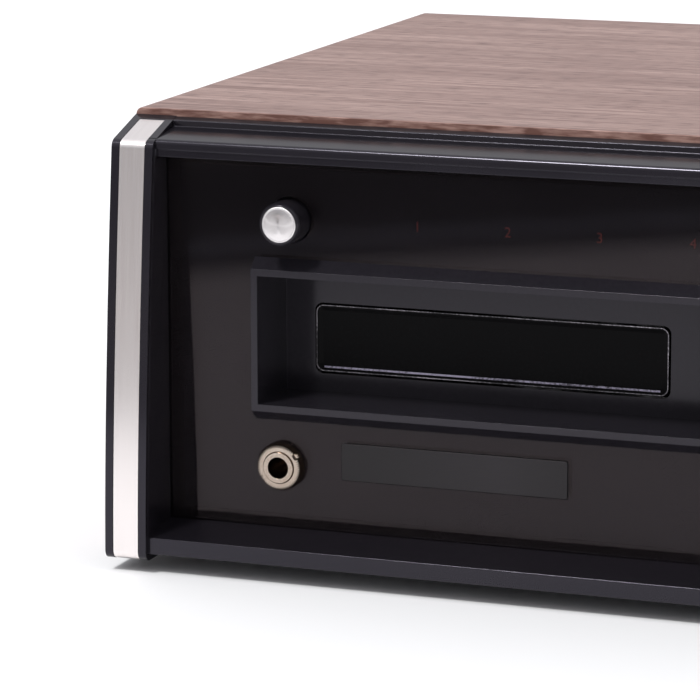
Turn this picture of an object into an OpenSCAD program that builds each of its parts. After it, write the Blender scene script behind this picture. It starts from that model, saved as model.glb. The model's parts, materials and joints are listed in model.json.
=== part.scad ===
// Table stereo receiver with a built-in 8-track tape player.
// Millimetres, +Z up, front towards -Y. Origin: middle of the footprint, on the surface it stands on.

/* [Cabinet] */
// Overall width
cab_w = 452; // [446:1:480]
// Overall depth, from the foot of the front frame to the back edge of the boards
cab_d = 290; // [280:1:330]
// Height of the cabinet above its feet
cab_h = 133; // [131:1:140]
// Thickness of the cabinet boards
board_t = 10; // [8:0.5:11]
// Radius of the two long top edges
board_r = 2; // [0.5:0.5:4]
// Distance from the foot of the front frame back to the boards' front edge
wood_set = 28; // [26.5:0.5:29.5]
// Height of a rubber foot
foot_h = 6; // [3:0.5:10]
// Diameter of a rubber foot
foot_d = 18; // [14:1:24]
// Distance of a foot's centre from the cabinet's side
foot_in_x = 40; // [26:1:50]
// Distance of a foot's centre from the front frame and from the back
foot_in_y = 56; // [55:1:57]
// Thickness of the chassis sheet metal
sheet_t = 1.2; // [0.8:0.1:1.6]
// Height of the folded flanges of the chassis
flange_h = 12; // [10:1:16]
// Distance from the back edge of the boards in to the rear panel
rear_set = 13; // [10:0.5:16]

/* [Front frame] */
// How far the front leans back over its height
front_lean = 9.3; // [6:0.1:11]
// Exponent of the front's curve, 1 is straight
front_curve = 1.45; // [1:0.05:2]
// Width of an end cap
cap_w = 13.4; // [12.6:0.1:15]
// Drop of the cap's front top corner below the cabinet's top
cap_drop = 7.7; // [6:0.1:8.5]
// Drop of the cap's back edge below the cabinet's top
cap_reveal = 2.0; // [1.4:0.1:3.4]
// How far the caps reach below the cabinet's boards
cap_foot = 2.2; // [1:0.1:3]
// Radius of the cap's front corners
cap_r = 3; // [2.2:0.1:4]
// Wall of the hollow end cap
cap_wall = 2; // [1.6:0.1:2.4]
// Width of the aluminium strip on a cap
strip_w = 8.3; // [6:0.1:8.6]
// Thickness of the aluminium strip
strip_t = 0.8; // [0.5:0.1:1]
// How far the rails lie behind the caps' front
rail_set = 1.8; // [1.5:0.1:2.4]
// Height of the bottom rail
rail_bottom = 5.1; // [4:0.1:7]
// Depth of the top rail's underside below the cabinet's top
rail_top = 12.1; // [11.6:0.1:14]
// Drop of the top rail's front edge below the cabinet's top
rail_drop = 7.3; // [6.8:0.1:8]
// Step between the frame's back lip and the rail's top
rail_step = 2.2; // [1.2:0.1:2.8]
// Radius of the top rail's front edge
rail_r = 1.6; // [0.8:0.1:2]
// Depth of the frame's back lip
lip_d = 3.2; // [2:0.1:5]
// Side wall of the front frame
frame_wall = 2.4; // [2:0.1:3]
// Distance from the frame's front back to the line where its opening widens
frame_line = 20; // [17:0.5:20]
// How much the opening widens there, each side
frame_ease = 0.6; // [0.3:0.1:1]

/* [Panel] */
// Distance from the foot of the frame back to the smoked panel's face
panel_set = 20.8; // [20.5:0.1:23]
// Thickness of the smoked panel
panel_t = 2.5; // [2:0.1:3]
// Space between the smoked panel and the steel subpanel
panel_gap = 17.7; // [15:0.1:19]
// Rise of the ledge below the panel, from the rail's front to the panel
ledge_rise = 2.4; // [1:0.1:3]
// Width of the ledge behind the smoked panel's edge
ledge_w = 3; // [2:0.5:4]
// Width of the bare plate below the tape recess
plate_w = 71.3; // [50:1:90]
// Height of the bare plate
plate_h = 11.4; // [8:0.1:14]
// Thickness of the bare plate
plate_t = 0.8; // [0.5:0.1:1]
// Centre of the bare plate, from the opening's left edge
plate_x = 91.65; // [86:0.05:98]
// Centre of the bare plate, above the opening's bottom edge
plate_z = 24.1; // [20:0.1:26]

/* [Tape recess] */
// Left wall of the tape recess, from the opening's left edge
recess_x = 30.3; // [29:0.1:35]
// Width of the tape recess
recess_w = 146.9; // [145:0.1:151]
// Floor of the tape recess, above the opening's bottom edge
recess_z = 40.7; // [40:0.1:44]
// Height of the tape recess
recess_h = 39.5; // [37.6:0.1:40.6]
// Depth of the tape recess behind the bezel's face
recess_d = 24.5; // [22:0.1:26]
// Wall of the tape bezel
bezel_wall = 2.1; // [1.6:0.1:2.6]
// How far the bezel's face stands in front of the panel
bezel_proud = 4; // [3:0.1:5]
// Height of the bezel's bevels above and below its rim
bevel_h = 3.2; // [2:0.1:4]
// Width of the tape door
door_w = 112; // [107:0.1:117]
// Height of the tape door
door_h = 20.9; // [20.6:0.1:22.3]
// Thickness of the tape door
door_t = 2.5; // [2:0.1:3]
// Corner radius of the tape door
door_r = 2.5; // [1:0.1:4]
// Gap at the sides and top of the tape door
door_gap = 0.45; // [0.4:0.05:0.6]
// Height of the raised rim on the door's face
door_rim = 0.5; // [0.3:0.1:0.6]
// Left edge of the door, from the recess's left wall
door_x = 9.9; // [8:0.1:14]
// Lower edge of the door, above the recess's floor
door_z = 6.4; // [5:0.1:8]
// Height of the hinge pin above the door's top edge
hinge_up = 6.5; // [6:0.1:7]
// Distance of the hinge pin behind the door's face
hinge_back = 5.6; // [5.4:0.1:6]
// Diameter of the door's hinge pin
hinge_d = 2; // [1.6:0.1:2.4]

/* [Small controls] */
// Channel knob, from the opening's left edge
channel_x = 39.3; // [36:0.1:47]
// Channel knob, above the opening's bottom edge
channel_z = 97.1; // [96:0.1:98.4]
// Diameter of the channel knob
channel_d = 13.2; // [12:0.1:15]
// Length of the channel knob in front of the panel
channel_len = 9; // [7:0.1:12]
// Travel of the channel knob
channel_travel = 3.5; // [2:0.1:4]
// Diameter of the channel plunger
plunger_d = 6; // [5:0.1:6.5]
// Headphone socket, from the opening's left edge
jack_x = 36.7; // [33:0.1:44]
// Headphone socket, above the opening's bottom edge
jack_z = 21.4; // [19:0.1:23]
// Diameter of the headphone socket's bore
jack_bore = 6.5; // [6.4:0.05:6.6]
// Diameter of the headphone socket's threaded neck
jack_neck = 9.6; // [9.2:0.1:10]
// Diameter of the headphone socket's round nut
jack_nut = 15; // [13:0.1:16]
// Thickness of the round nut
jack_nut_t = 3.4; // [2.5:0.1:3.6]
// How far a plug goes into the headphone socket
jack_depth = 32; // [30:1:36]
// First channel numeral, from the opening's left edge
lamp_x = 79.2; // [75:0.1:82]
// Distance between channel numerals
lamp_pitch = 28.2; // [24:0.1:29]
// Number of channel numerals
lamp_count = 4; // [3:1:4]
// Height of the channel numerals above the opening's bottom edge
lamp_z = 96.9; // [95:0.1:98]

/* [Right-hand controls] */
// Height of the row of small knobs above the opening's bottom edge
row_z = 30; // [26:0.5:32]
// Power button, from the right wall of the tape recess
power_x = 30; // [28:1:36]
// Diameter of the power button
power_d = 12; // [10:0.5:13]
// Length of the power button in front of the panel
power_len = 6; // [5:0.5:9]
// Travel of the power button
power_travel = 3.5; // [2:0.1:4]
// Diameter of a small knob
knob_d = 19; // [16:0.5:22]
// Length of a knob in front of the panel
knob_len = 10.5; // [9:0.5:14]
// Diameter of a control shaft
shaft_d = 6; // [5:0.1:6.5]
// Diameter of a control's body
pot_d = 17; // [14:0.5:20]
// Depth of a control's body
pot_len = 9; // [7:0.5:10]
// Tuning knob, from the opening's right edge
tune_x = 33.6; // [26:0.1:36]
// Height of the tuning knob above the opening's bottom edge
tune_z = 46; // [44:0.5:50]
// Diameter of the tuning knob
tune_d = 34; // [28:0.5:36]

/* [Dial] */
// Middle of the dial, from the opening's right edge
dial_x = 116.6; // [114:0.1:119]
// Width of the dial plate
dial_w = 212; // [180:1:222]
// Height of the dial plate
dial_h = 30; // [24:1:32]
// Top of the subpanel and the dial plate, below the opening's top edge
dial_top = 7; // [6:0.5:9]
// Thickness of the dial plate
dial_t = 0.8; // [0.5:0.1:1]
// Radius of the dial drum's groove
drum_r = 35; // [32:0.5:36]
// Width of the dial drum
drum_w = 6; // [5:0.5:7]
// Radius of the dial pulleys' groove
pulley_r = 4; // [3.5:0.1:5]
// Distance between the dial pulleys
pulley_span = 136; // [130:1:142]
// Radius of the tuning spindle's groove
spindle_r = 3.5; // [3:0.1:4]
// Diameter of the dial cord
cord_d = 0.8; // [0.6:0.1:1]
// Where the pointer rests, from the dial's middle
pointer_x = -22; // [-30:1:30]

/* [Tuning capacitor] */
// Radius of the rotor's vanes
vane_r = 15; // [12:0.5:16]
// Thickness of a vane
vane_t = 0.8; // [0.6:0.1:1]
// Number of rotor vanes
vane_count = 6; // [4:1:7]
// Distance from one rotor vane to the next
vane_pitch = 4; // [3.6:0.1:4.4]

/* [Tape mechanism] */
// Width of a tape cartridge
cart_w = 101.6; // [101:0.1:102]
// Thickness of a tape cartridge
cart_h = 20.3; // [20:0.1:20.6]
// How far a cartridge goes in behind the door's face
cart_in = 92; // [86:1:96]
// Thickness of the deck plate
deck_t = 1.5; // [1.2:0.1:2]
// Diameter of the flywheel
fly_d = 76; // [66:1:80]
// Thickness of the flywheel
fly_t = 9; // [6:0.5:11]
// Diameter of the capstan
capstan_d = 5; // [4:0.1:6]
// Capstan, from the cartridge's middle
capstan_x = -34; // [-38:1:-32]
// Diameter of the motor
motor_d = 42; // [36:1:44]
// Height of the motor
motor_h = 40; // [34:1:44]
// Diameter of the motor pulley
motor_pulley_d = 10; // [8:0.5:12]
// Thickness of the drive belt
belt_t = 1.2; // [0.8:0.1:1.6]
// Playback head, from the cartridge's middle
head_x = 10; // [6:1:14]
// Height of one step of the head cam
cam_step = 0.8; // [0.6:0.05:0.9]
// Number of head positions
cam_count = 4; // [3:1:4]
// Radius of the head cam
cam_r = 9; // [8.5:0.5:9.5]
// Travel of the solenoid's plunger
sol_travel = 4; // [3:0.5:4.5]
// Diameter of the catch roller
catch_d = 10; // [8:0.5:11]

/* [Electrics] */
// Width of the main board
board_w = 190; // [150:1:196]
// Depth of the main board
board_d = 90; // [80:1:94]
// Thickness of the main board
board_pcb_t = 1.6; // [1.2:0.1:2]
// Height of the main board's posts
post_h = 7; // [5:0.5:10]
// Width of the power transformer's core
trafo_w = 58; // [50:1:62]
// Depth of the power transformer's core
trafo_d = 40; // [34:1:42]
// Height of the power transformer's core
trafo_h = 48; // [40:1:54]
// Width of the heatsink
sink_w = 84; // [70:1:90]
// Height of the heatsink
sink_h = 50; // [40:1:56]
// Number of heatsink fins
fin_count = 8; // [5:1:10]
// Length of the ferrite rod
ferrite_len = 120; // [100:1:130]
// Diameter of the ferrite rod
ferrite_d = 10; // [8:0.5:11]
// Number of screw terminals
terminal_count = 8; // [4:1:8]
// Number of phono sockets in each row
phono_count = 3; // [2:1:3]
// Bore of the cord bush
bush_d = 7; // [6:0.5:8]

/* [Hidden] */

$fn = 48;
eps = 0.01;
// Radial clearance of a running shaft, and gap between pieces that only pass each other
run = 0.06;
gap = 0.3;
// Gap that keeps two glued or pressed pieces of one node separate solids
seam = 0.03;

// Overall planes
z_base = foot_h;
z_top = foot_h + cab_h;
y_front = -cab_d / 2;
y_back = cab_d / 2;
wood_y = y_front + wood_set;
inner_w = cab_w - 2 * board_t;
z_board = z_top - board_t;
rear_y = y_back - rear_set;
z_floor = z_base + sheet_t;

// Screws: the feet's, the rear panel's and the two under the top board
foot_screw = 3.5;
foot_head_d = 8;
rear_screw = 3;
head_t = 2;
pilot_h = 6;
top_screw_x = inner_w / 2 - 30;
rear_screw_in = 20;
rear_screw_count = 4;

// Frame opening
open_x = cab_w / 2 - cap_w;
open_z = z_base + rail_bottom;
open_top = z_top - rail_top;
cap_low = z_base - cap_foot;
ledge_z = open_z + ledge_rise;
strip_x = open_x + (cap_w - strip_w) / 2;
strip_end = wood_y - lip_d - 0.05;
cap_fit = 0.1;

// Panel planes
panel_y = y_front + panel_set;
panel_back = panel_y + panel_t;
sub_y = panel_back + panel_gap;
sub_back = sub_y + sheet_t;
sub_top = open_top - dial_top;
panel_fit = 0.1;

// Tape recess and door
rec_x = -open_x + recess_x;
rec_z = open_z + recess_z;
mouth_y = panel_y - bezel_proud;
door_y = mouth_y + recess_d;
bezel_back = door_y + door_t;
dr_x = rec_x + door_x;
dr_z = rec_z + door_z;
hinge_y = door_y + hinge_back;
hinge_z = dr_z + door_h + hinge_up;
ear_r = hinge_back - door_t - gap - 0.2;
ear_w = 5;
lug_w = 4;
lug_r = 2.6;
lug_in = 8;
rim_w = 1.4;
// Gap below the door, so that its lower edge clears the wall as it swings
door_sweep = norm([hinge_back + door_rim, door_h + hinge_up]) - (door_h + hinge_up) + 0.1;

// Small controls
ch_x = -open_x + channel_x;
ch_z = open_z + channel_z;
ch_front = panel_y - channel_len;
ch_back = sub_y - channel_travel - 0.5;
collar_y = sub_back + gap;
collar_t = 1.5;
shaft_in = 10;
spring_len = 9;
switch_y = collar_y + collar_t + spring_len;
switch_d = 18;
switch_w = 18;
wire_d = 0.7;
spring_turns = 5;
spring_r = plunger_d / 2 + 1.1;
spring_steps = 12;
wire_sides = 6;
plunger_end = switch_y + switch_d - channel_travel - 2;
jk_x = -open_x + jack_x;
jk_z = open_z + jack_z;
jack_front = panel_y - jack_nut_t - 0.6;
jack_body_w = 18;
jack_body_h = 14;
lp_x = -open_x + lamp_x;
lp_z = open_z + lamp_z;
lamp_end = lp_x + (lamp_count - 1) * lamp_pitch;
lamp_box = 8;
well_d = 9;
window_d = 7.6;
lamp_d = 4.6;
lamp_back = sub_back + 12;

// Right-hand controls
rw_z = open_z + row_z;
tn_z = open_z + tune_z;
pot_front = sub_y - 5;
nut_t = 2;
pw_x = rec_x + recess_w + power_x;
tn_x = open_x - tune_x;
dl_x = open_x - dial_x;
knob_count = 4;
weight_d = tune_d - 4;
// The small knobs stand evenly between the power button and the tuning knob
function knob_places() = [for (i = [1:knob_count]) pw_x + i * (tn_x - pw_x) / (knob_count + 1)];

// Dial drive
groove_y = sub_back + pot_len + gap + 5.5;
drum_y = groove_y - drum_w / 2;
cord_z = sub_top - 3;
pulley_z = cord_z - pulley_r - gap - cord_d / 2;
drum_z = pulley_z - drum_r - 3;
pulley_w = 4;
post_d = 3;
flange = 1.5;
needle_y = sub_y - dial_t - 2.2;
// Wheels inside the dial cord, clockwise as seen from the front: place and radius
CORD_WHEELS = [
  [dl_x - pulley_span / 2, pulley_z, pulley_r + gap],
  [dl_x + pulley_span / 2, pulley_z, pulley_r + gap],
  [tn_x, tn_z, spindle_r + gap],
  [dl_x, drum_z, drum_r + gap]
];

// Tuning capacitor
vane_y = drum_y + drum_w + 8;
vane_end = vane_y + vane_count * vane_pitch;
cap_half = vane_r + 4;
frame_t = 1.5;
plate_air = 4;

// Tape mechanism
cart_x = dr_x + door_w / 2;
cart_y = door_y + cart_in;
deck_z = dr_z - deck_t - gap;
deck_top = deck_z + deck_t;
guide_start = hinge_y + hinge_z - dr_z + 1.5;
deck_left = 78;
deck_right = 88;
deck_behind = 56;
deck_in = 12;
deck_x0 = cart_x - deck_left;
deck_x1 = cart_x + deck_right;
deck_y0 = hinge_y + deck_in;
deck_y1 = cart_y + deck_behind;
cps_x = cart_x + capstan_x;
cps_y = cart_y + capstan_d / 2 + gap;
fly_z = deck_z - 6 - fly_t;
motor_in = 32;
mot_x = deck_x1 - motor_in;
mot_y = cart_y + motor_d / 2 + 8;
mot_shaft = 2.5;
mot_flange = 6;
mot_flange_w = 14;
foot_w = 10;
pivot_d = 4;
carriage_x = cart_x + head_x;
head_w = 12;
head_y = cart_y + gap;
head_d = 9;
head_z = deck_top + 4;
guide_x = carriage_x - 9;
guide_y = head_y + 16;
cam_x = carriage_x + 5;
cam_y = guide_y + 8;
cam_z = deck_top + 2;
cam_t = 3;
follower_x = cam_x - cam_r + 2;
carriage_z = cam_z + cam_t + cam_count * cam_step + 0.6;
cam_shaft = 3;
cam_air = 0.15;
pin_d = 1.6;
wall_t = 1.5;
sol_d = 7;
sol_r = 9;
sol_len = 26;
sol_y = cam_y;
sol_x = cam_x - cam_r - 18;
catch_x = cart_x - cart_w / 2 - catch_d / 2 + 1.5;
catch_y = door_y + 52;
catch_piv_y = door_y + 20;
catch_piv_x = cart_x - cart_w / 2 - 12;
catch_z = deck_top + 3;
catch_h = 8;
arm_t = 1.5;

// Electrics
post_in = 8;
post_w = 7;
pcb_x = open_x - board_w - 2;
pcb_y = rear_y - trafo_d - board_d - 32;
pcb_z = z_floor + post_h;
pcb_top = pcb_z + board_pcb_t;
trafo_x = cab_w / 2 - foot_in_x - 12 - trafo_w / 2;
trafo_y = rear_y - trafo_d / 2 - 22;
trafo_stack = trafo_d - 16;
trafo_leg = trafo_w / 6;
trafo_lug = 8;
transistor_w = 10;
transistor_h = 14;
transistor_t = 4.5;
sink_x = inner_w / 2 - 132;
sink_z = z_base + 62;
sink_t = 3;
fin_t = 2;
fin_d = 17;
coil_len = 28;
ferrite_x = sink_x - ferrite_len - 14;
ferrite_y = rear_y - 20;
ferrite_z = z_board - 24;
holder_w = 4;

// Sockets, terminals and vents in the rear panel
phono_x = -60;
phono_z = z_base + 40;
phono_pitch = 18;
phono_hole = 8;
phono_bore = 3.3;
phono_neck = 8;
term_x = -inner_w / 2 + 29;
term_z = z_base + 40;
term_pitch = 12;
term_half = 9;
stud_d = 3;
bush_x = inner_w / 2 - 26;
bush_z = z_base + 26;
bush_wall = 2;
bush_lip = 1.5;
vent_x = -inner_w / 2 + 36;
vent_z = z_board - 20;
vent_w = 3;
vent_h = 24;
vent_pitch = 9;
vent_count = 14;
slot_count = 8;
slot_pitch = 5;
slot_w = 2.5;
slot_len = 30;

// Height of the front's surface line at height z
function front_y(z) =
  y_front + front_lean * pow(max(0, z - z_base) / (z_top - cap_drop - z_base), front_curve);

// Front and top edge of a frame section, as points in (y, z): up the curved front, round the
// top corner and back along the slope from z_front at the corner to z_back at the boards
function edge_path(inset, z_front, z_back, radius, y_end, foot_r = 0) =
  let (
    y_c = front_y(z_front),
    m = front_lean * front_curve / (z_top - cap_drop - z_base),
    n = (z_back - z_front) / (wood_y - y_c),
    a = atan(m),
    b = atan(n),
    q = max(radius, inset),
    rr = q - inset,
    dy = q * (1 / cos(a) - m / cos(b)) / (1 - m * n),
    dz = n * dy - q / cos(b),
    z_t = z_front + dz + rr * sin(a),
    z_low = foot_r > 0 ? cap_low : z_base,
    z_foot = z_low + max(foot_r, foot_r > 0 ? inset : 0),
    steps = 10,
    turns = 8
  )
  concat(
    foot_r > 0 ? [for (i = [0:turns - 1]) let (t = 270 - 90 * i / turns, r_f = z_foot - z_low)
      [y_front + r_f + (r_f - inset) * cos(t), z_foot + (r_f - inset) * sin(t)]] : [],
    [for (i = [0:steps]) let (z = z_foot + (z_t - z_foot) * i / steps) [front_y(z) + inset, z]],
    [for (i = [1:turns]) let (t = 180 - a - (90 - a - b) * i / turns)
      [y_c + dy + rr * cos(t), z_front + dz + rr * sin(t)]],
    [[y_end, z_front + (y_end - y_c) * n - inset / cos(b)]]
  );

function cap_edge(inset, y_end) =
  edge_path(inset, z_top - cap_drop, z_top - cap_reveal, cap_r, y_end, cap_r);
function rail_edge(inset, y_end) =
  edge_path(inset, z_top - rail_drop + rail_set, z_top - cap_reveal - rail_step + rail_set,
    rail_r + rail_set, y_end);
// Height of the caps' top slope at depth y
function cap_z(y) = z_top - cap_drop
  + (y - front_y(z_top - cap_drop)) * (cap_drop - cap_reveal) / (wood_y - front_y(z_top - cap_drop));
function reversed(list) = [for (i = [len(list) - 1:-1:0]) list[i]];

module along_x(x, length) {
  translate([x, 0, 0]) rotate([90, 0, 90]) linear_extrude(length) children();
}
module along_y(y, length) {
  translate([0, y + length, 0]) rotate([90, 0, 0]) linear_extrude(length) children();
}
module rod_x(x, y, z, length, d) {
  translate([x, y, z]) rotate([0, 90, 0]) cylinder(h = length, d = d);
}
module rod_y(x, y, z, length, d) {
  translate([x, y, z]) rotate([-90, 0, 0]) cylinder(h = length, d = d);
}
module rod_z(x, y, z, length, d) {
  translate([x, y, z]) cylinder(h = length, d = d);
}
module block(x0, x1, y0, y1, z0, z1) {
  translate([x0, y0, z0]) cube([x1 - x0, y1 - y0, z1 - z0]);
}
module round_rect(x, z, w, h, r) {
  translate([x + r, z]) square([w - 2 * r, h]);
  translate([x, z + r]) square([w, h - 2 * r]);
  for (cx = [x + r, x + w - r], cz = [z + r, z + h - r]) translate([cx, cz]) circle(r);
}
module mirror_x() {
  mirror([1, 0, 0]) children();
}

// ---- Cabinet ----

function foot_places() = [for (x = [-1, 1], y = [-1, 1])
  [x * (cab_w / 2 - foot_in_x), y * (cab_d / 2 - foot_in_y)]];
function rear_places() = [for (i = [0:rear_screw_count - 1])
  (i / (rear_screw_count - 1) - 0.5) * (inner_w - 2 * rear_screw_in)];

module cabinet() color("#8a6e66") difference() {
  along_y(wood_y, y_back - wood_y) difference() {
    union() {
      translate([-cab_w / 2, z_base]) square([cab_w, cab_h - board_r]);
      translate([-cab_w / 2 + board_r, z_base]) square([cab_w - 2 * board_r, cab_h]);
      for (s = [-1, 1]) translate([s * (cab_w / 2 - board_r), z_top - board_r]) circle(board_r);
    }
    translate([-inner_w / 2, z_base - 1]) square([inner_w, cab_h - board_t + 1]);
  }
  for (s = [-1, 1])
    rod_z(s * top_screw_x, rear_y - flange_h / 2, z_board - eps, pilot_h, rear_screw);
}

module base_chassis() color("silver") {
  difference() {
    union() {
      block(-inner_w / 2, inner_w / 2, sub_y, rear_y, z_base, z_floor);
      for (m = [0, 1]) mirror([m, 0, 0])
        block(inner_w / 2 - sheet_t, inner_w / 2, wood_y + 16, rear_y, z_base, z_base + flange_h);
      block(-inner_w / 2, inner_w / 2, rear_y - sheet_t, rear_y, z_base, z_base + flange_h);
    }
    for (p = foot_places()) rod_z(p[0], p[1], z_base - 1, sheet_t + 2, foot_screw);
    for (x = rear_places()) rod_y(x, rear_y - sheet_t - 1, z_base + flange_h / 2, sheet_t + 2, rear_screw);
    // Slots that let air in under the main board
    for (i = [0:slot_count - 1])
      translate([pcb_x + board_w / 2 + (i - slot_count / 2) * slot_pitch, pcb_y + (board_d - slot_len) / 2,
        z_base - 1]) cube([slot_w, slot_len, sheet_t + 2]);
  }
  // Posts of the main board
  for (x = [pcb_x + post_in, pcb_x + board_w - post_in], y = [pcb_y + post_in, pcb_y + board_d - post_in])
    rod_z(x, y, z_floor - eps, post_h + eps, post_w);
  // Thrust bearing under the capstan
  difference() {
    rod_z(cps_x, cps_y, z_floor - eps, 8, capstan_d + 9);
    rod_z(cps_x, cps_y, z_floor + 2, 8, capstan_d + 2 * run);
  }
}

function phono_places() = [for (i = [0:phono_count - 1], j = [0:1])
  [phono_x + i * phono_pitch, phono_z + j * phono_pitch]];
function terminal_places() = [for (i = [0:terminal_count - 1]) term_x + i * term_pitch];

module rear_panel() color("dimgray") difference() {
  union() {
    block(-inner_w / 2, inner_w / 2, rear_y, rear_y + sheet_t, z_base, z_board);
    block(-inner_w / 2, inner_w / 2, rear_y - flange_h, rear_y + eps, z_board - sheet_t, z_board);
  }
  for (x = rear_places()) rod_y(x, rear_y - 1, z_base + flange_h / 2, sheet_t + 2, rear_screw);
  for (s = [-1, 1])
    rod_z(s * top_screw_x, rear_y - flange_h / 2, z_board - sheet_t - 1, sheet_t + 2, rear_screw);
  for (p = phono_places()) rod_y(p[0], rear_y - 1, p[1], sheet_t + 2, phono_hole);
  for (x = terminal_places()) rod_y(x, rear_y - 1, term_z, sheet_t + 2, stud_d + 2);
  rod_y(bush_x, rear_y - 1, bush_z, sheet_t + 2, bush_d + 2 * bush_wall);
  for (i = [0:vent_count - 1])
    translate([vent_x + i * vent_pitch, rear_y - 1, vent_z - vent_h]) cube([vent_w, sheet_t + 2, vent_h]);
}

module cord_bush() color("#202020") difference() {
  union() {
    rod_y(bush_x, rear_y - 4, bush_z, 4, bush_d + 2 * (bush_wall + bush_lip));
    rod_y(bush_x, rear_y - eps, bush_z, sheet_t + 2 * eps, bush_d + 2 * bush_wall);
    rod_y(bush_x, rear_y + sheet_t, bush_z, 3, bush_d + 2 * (bush_wall + bush_lip));
  }
  rod_y(bush_x, rear_y - 5, bush_z, sheet_t + 9, bush_d);
}

// ---- Front ----

module recess_hole(clearance) {
  block(rec_x - bezel_wall - clearance, rec_x + recess_w + bezel_wall + clearance,
    mouth_y, bezel_back + 20, rec_z - bezel_wall - clearance, rec_z + recess_h + bezel_wall + clearance);
}

module front_subpanel() color("silver") difference() {
  union() {
    block(-open_x - frame_wall, open_x + frame_wall, sub_y, sub_back, z_floor, sub_top);
    block(-inner_w / 2 + 6, inner_w / 2 - 6, sub_y, sub_y + flange_h, z_floor, z_floor + sheet_t);
    // Posts of the dial pulleys
    for (s = [-1, 1])
      rod_y(dl_x + s * pulley_span / 2, sub_back - eps, pulley_z,
        groove_y - sub_back + pulley_w / 2 + gap + 1, post_d);
    // Bush of the tuning spindle
    rod_y(tn_x, sub_back - eps, tn_z, 4, shaft_d + 6);
  }
  recess_hole(0.5);
  rod_y(jk_x, sub_y - 1, jk_z, sheet_t + 2, norm([jack_body_w, jack_body_h]) + 1);
  rod_y(ch_x, sub_y - 1, ch_z, sheet_t + 2, plunger_d + 2);
  block(lp_x - lamp_box, lamp_end + lamp_box, sub_y - 1, sub_back + 1,
    lp_z - lamp_box + 1, lp_z + lamp_box - 1);
  rod_y(pw_x, sub_y - 1, rw_z, sheet_t + 2, power_d + 2);
  for (x = knob_places()) rod_y(x, sub_y - 1, rw_z, sheet_t + 2, shaft_d + 4);
  rod_y(tn_x, sub_y - 1, tn_z, sheet_t + 6, shaft_d + 2 * run);
}

module front_frame() color("#1b1b1d") difference() {
  union() {
    // Rails between the caps, with the lip along the boards
    along_x(-open_x, 2 * open_x) polygon(concat(
      rail_edge(rail_set, wood_y - lip_d),
      [[wood_y - lip_d, cap_z(wood_y - lip_d)], [wood_y - gap, cap_z(wood_y - gap)],
       [wood_y - gap, z_board - gap], [sub_y, z_board - gap], [sub_y, z_base]]));
    // Side walls, covered by the caps
    for (x = [-open_x - frame_wall, open_x]) along_x(x, frame_wall) polygon(concat(
      rail_edge(rail_set, wood_y - gap),
      [[wood_y - gap, z_board - gap], [sub_y, z_board - gap], [sub_y, z_base]]));
  }
  along_x(-open_x, 2 * open_x) polygon([
    [y_front - 1, open_z], [y_front + rail_set, open_z], [panel_y, ledge_z], [panel_back, ledge_z],
    [panel_back, open_top], [y_front - 1, open_top]]);
  // Wider part of the opening, which holds the panel's edge
  block(-open_x - frame_ease, open_x + frame_ease, y_front + frame_line, panel_back,
    ledge_z - frame_ease, open_top + frame_ease);
  // Smaller opening behind the panel, which leaves the ledge that carries it
  block(-open_x + ledge_w, open_x - ledge_w, panel_back - 1, sub_y + 1,
    ledge_z + ledge_w, open_top - ledge_w);
  // Shallow step along the lower half of the top rail's face
  block(-open_x, open_x, y_front, front_y(open_top) + rail_set + 0.7, open_top - 1, open_top + 2.3);
}

module end_cap() color("#1b1b1d") difference() {
  along_x(open_x, cap_w) polygon(concat(cap_edge(0, wood_y), [[wood_y, cap_low]]));
  // Pocket for the frame's side wall
  along_x(open_x - 1, frame_wall + 1 + cap_fit) polygon(concat(
    [[front_y(z_base) + rail_set - cap_fit, z_base - cap_fit]], rail_edge(rail_set - cap_fit, wood_y + 1),
    [[wood_y + 1, z_base - cap_fit]]));
  // Hollow, open at the back
  along_x(open_x + frame_wall + cap_fit + cap_wall, cap_w - frame_wall - cap_fit - 2 * cap_wall)
    polygon(concat(
      [for (p = cap_edge(strip_t + cap_wall, wood_y + 1)) [p[0], max(p[1], cap_low + cap_wall)]],
      [[wood_y + 1, cap_low + cap_wall]]));
  // Channel for the aluminium strip
  along_x(strip_x, strip_w) polygon(concat(
    [[y_front - 2, cap_low - 1], [y_front + cap_r, cap_low - 1]],
    cap_edge(strip_t, wood_y - lip_d), [[wood_y - lip_d, z_top], [y_front - 2, z_top]]));
}
module end_cap_right() end_cap();
module end_cap_left() mirror_x() end_cap();

module trim_strip() color("#c9c7cb")
  along_x(strip_x + 0.05, strip_w - 0.1)
    polygon(concat(cap_edge(0.1, strip_end), reversed(cap_edge(strip_t, strip_end))));
module trim_strips() {
  trim_strip();
  mirror_x() trim_strip();
}

module smoked_panel() color([0.1, 0.1, 0.12, 0.8]) difference() {
  block(-open_x - frame_ease + panel_fit, open_x + frame_ease - panel_fit, panel_y, panel_back,
    ledge_z - frame_ease + panel_fit, open_top + frame_ease - panel_fit);
  recess_hole(panel_fit);
  rod_y(ch_x, panel_y - 1, ch_z, panel_t + 2, channel_d + 0.8);
  rod_y(jk_x, panel_y - 1, jk_z, panel_t + 2, jack_neck + 2 * panel_fit);
  rod_y(pw_x, panel_y - 1, rw_z, panel_t + 2, power_d + 0.8);
  for (x = knob_places()) rod_y(x, panel_y - 1, rw_z, panel_t + 2, shaft_d + 3);
  rod_y(tn_x, panel_y - 1, tn_z, panel_t + 2, shaft_d + 3);
  // Shallow seat of the bare plate
  translate([-open_x + plate_x - plate_w / 2 - panel_fit, panel_y - 1,
    open_z + plate_z - plate_h / 2 - panel_fit])
    cube([plate_w + 2 * panel_fit, 1 + plate_t / 2, plate_h + 2 * panel_fit]);
}

module nameplate() color("#3a3a3e")
  along_y(panel_y - plate_t / 2, plate_t)
    round_rect(-open_x + plate_x - plate_w / 2, open_z + plate_z - plate_h / 2, plate_w, plate_h, 0.6);

// ---- Tape recess and door ----

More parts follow.
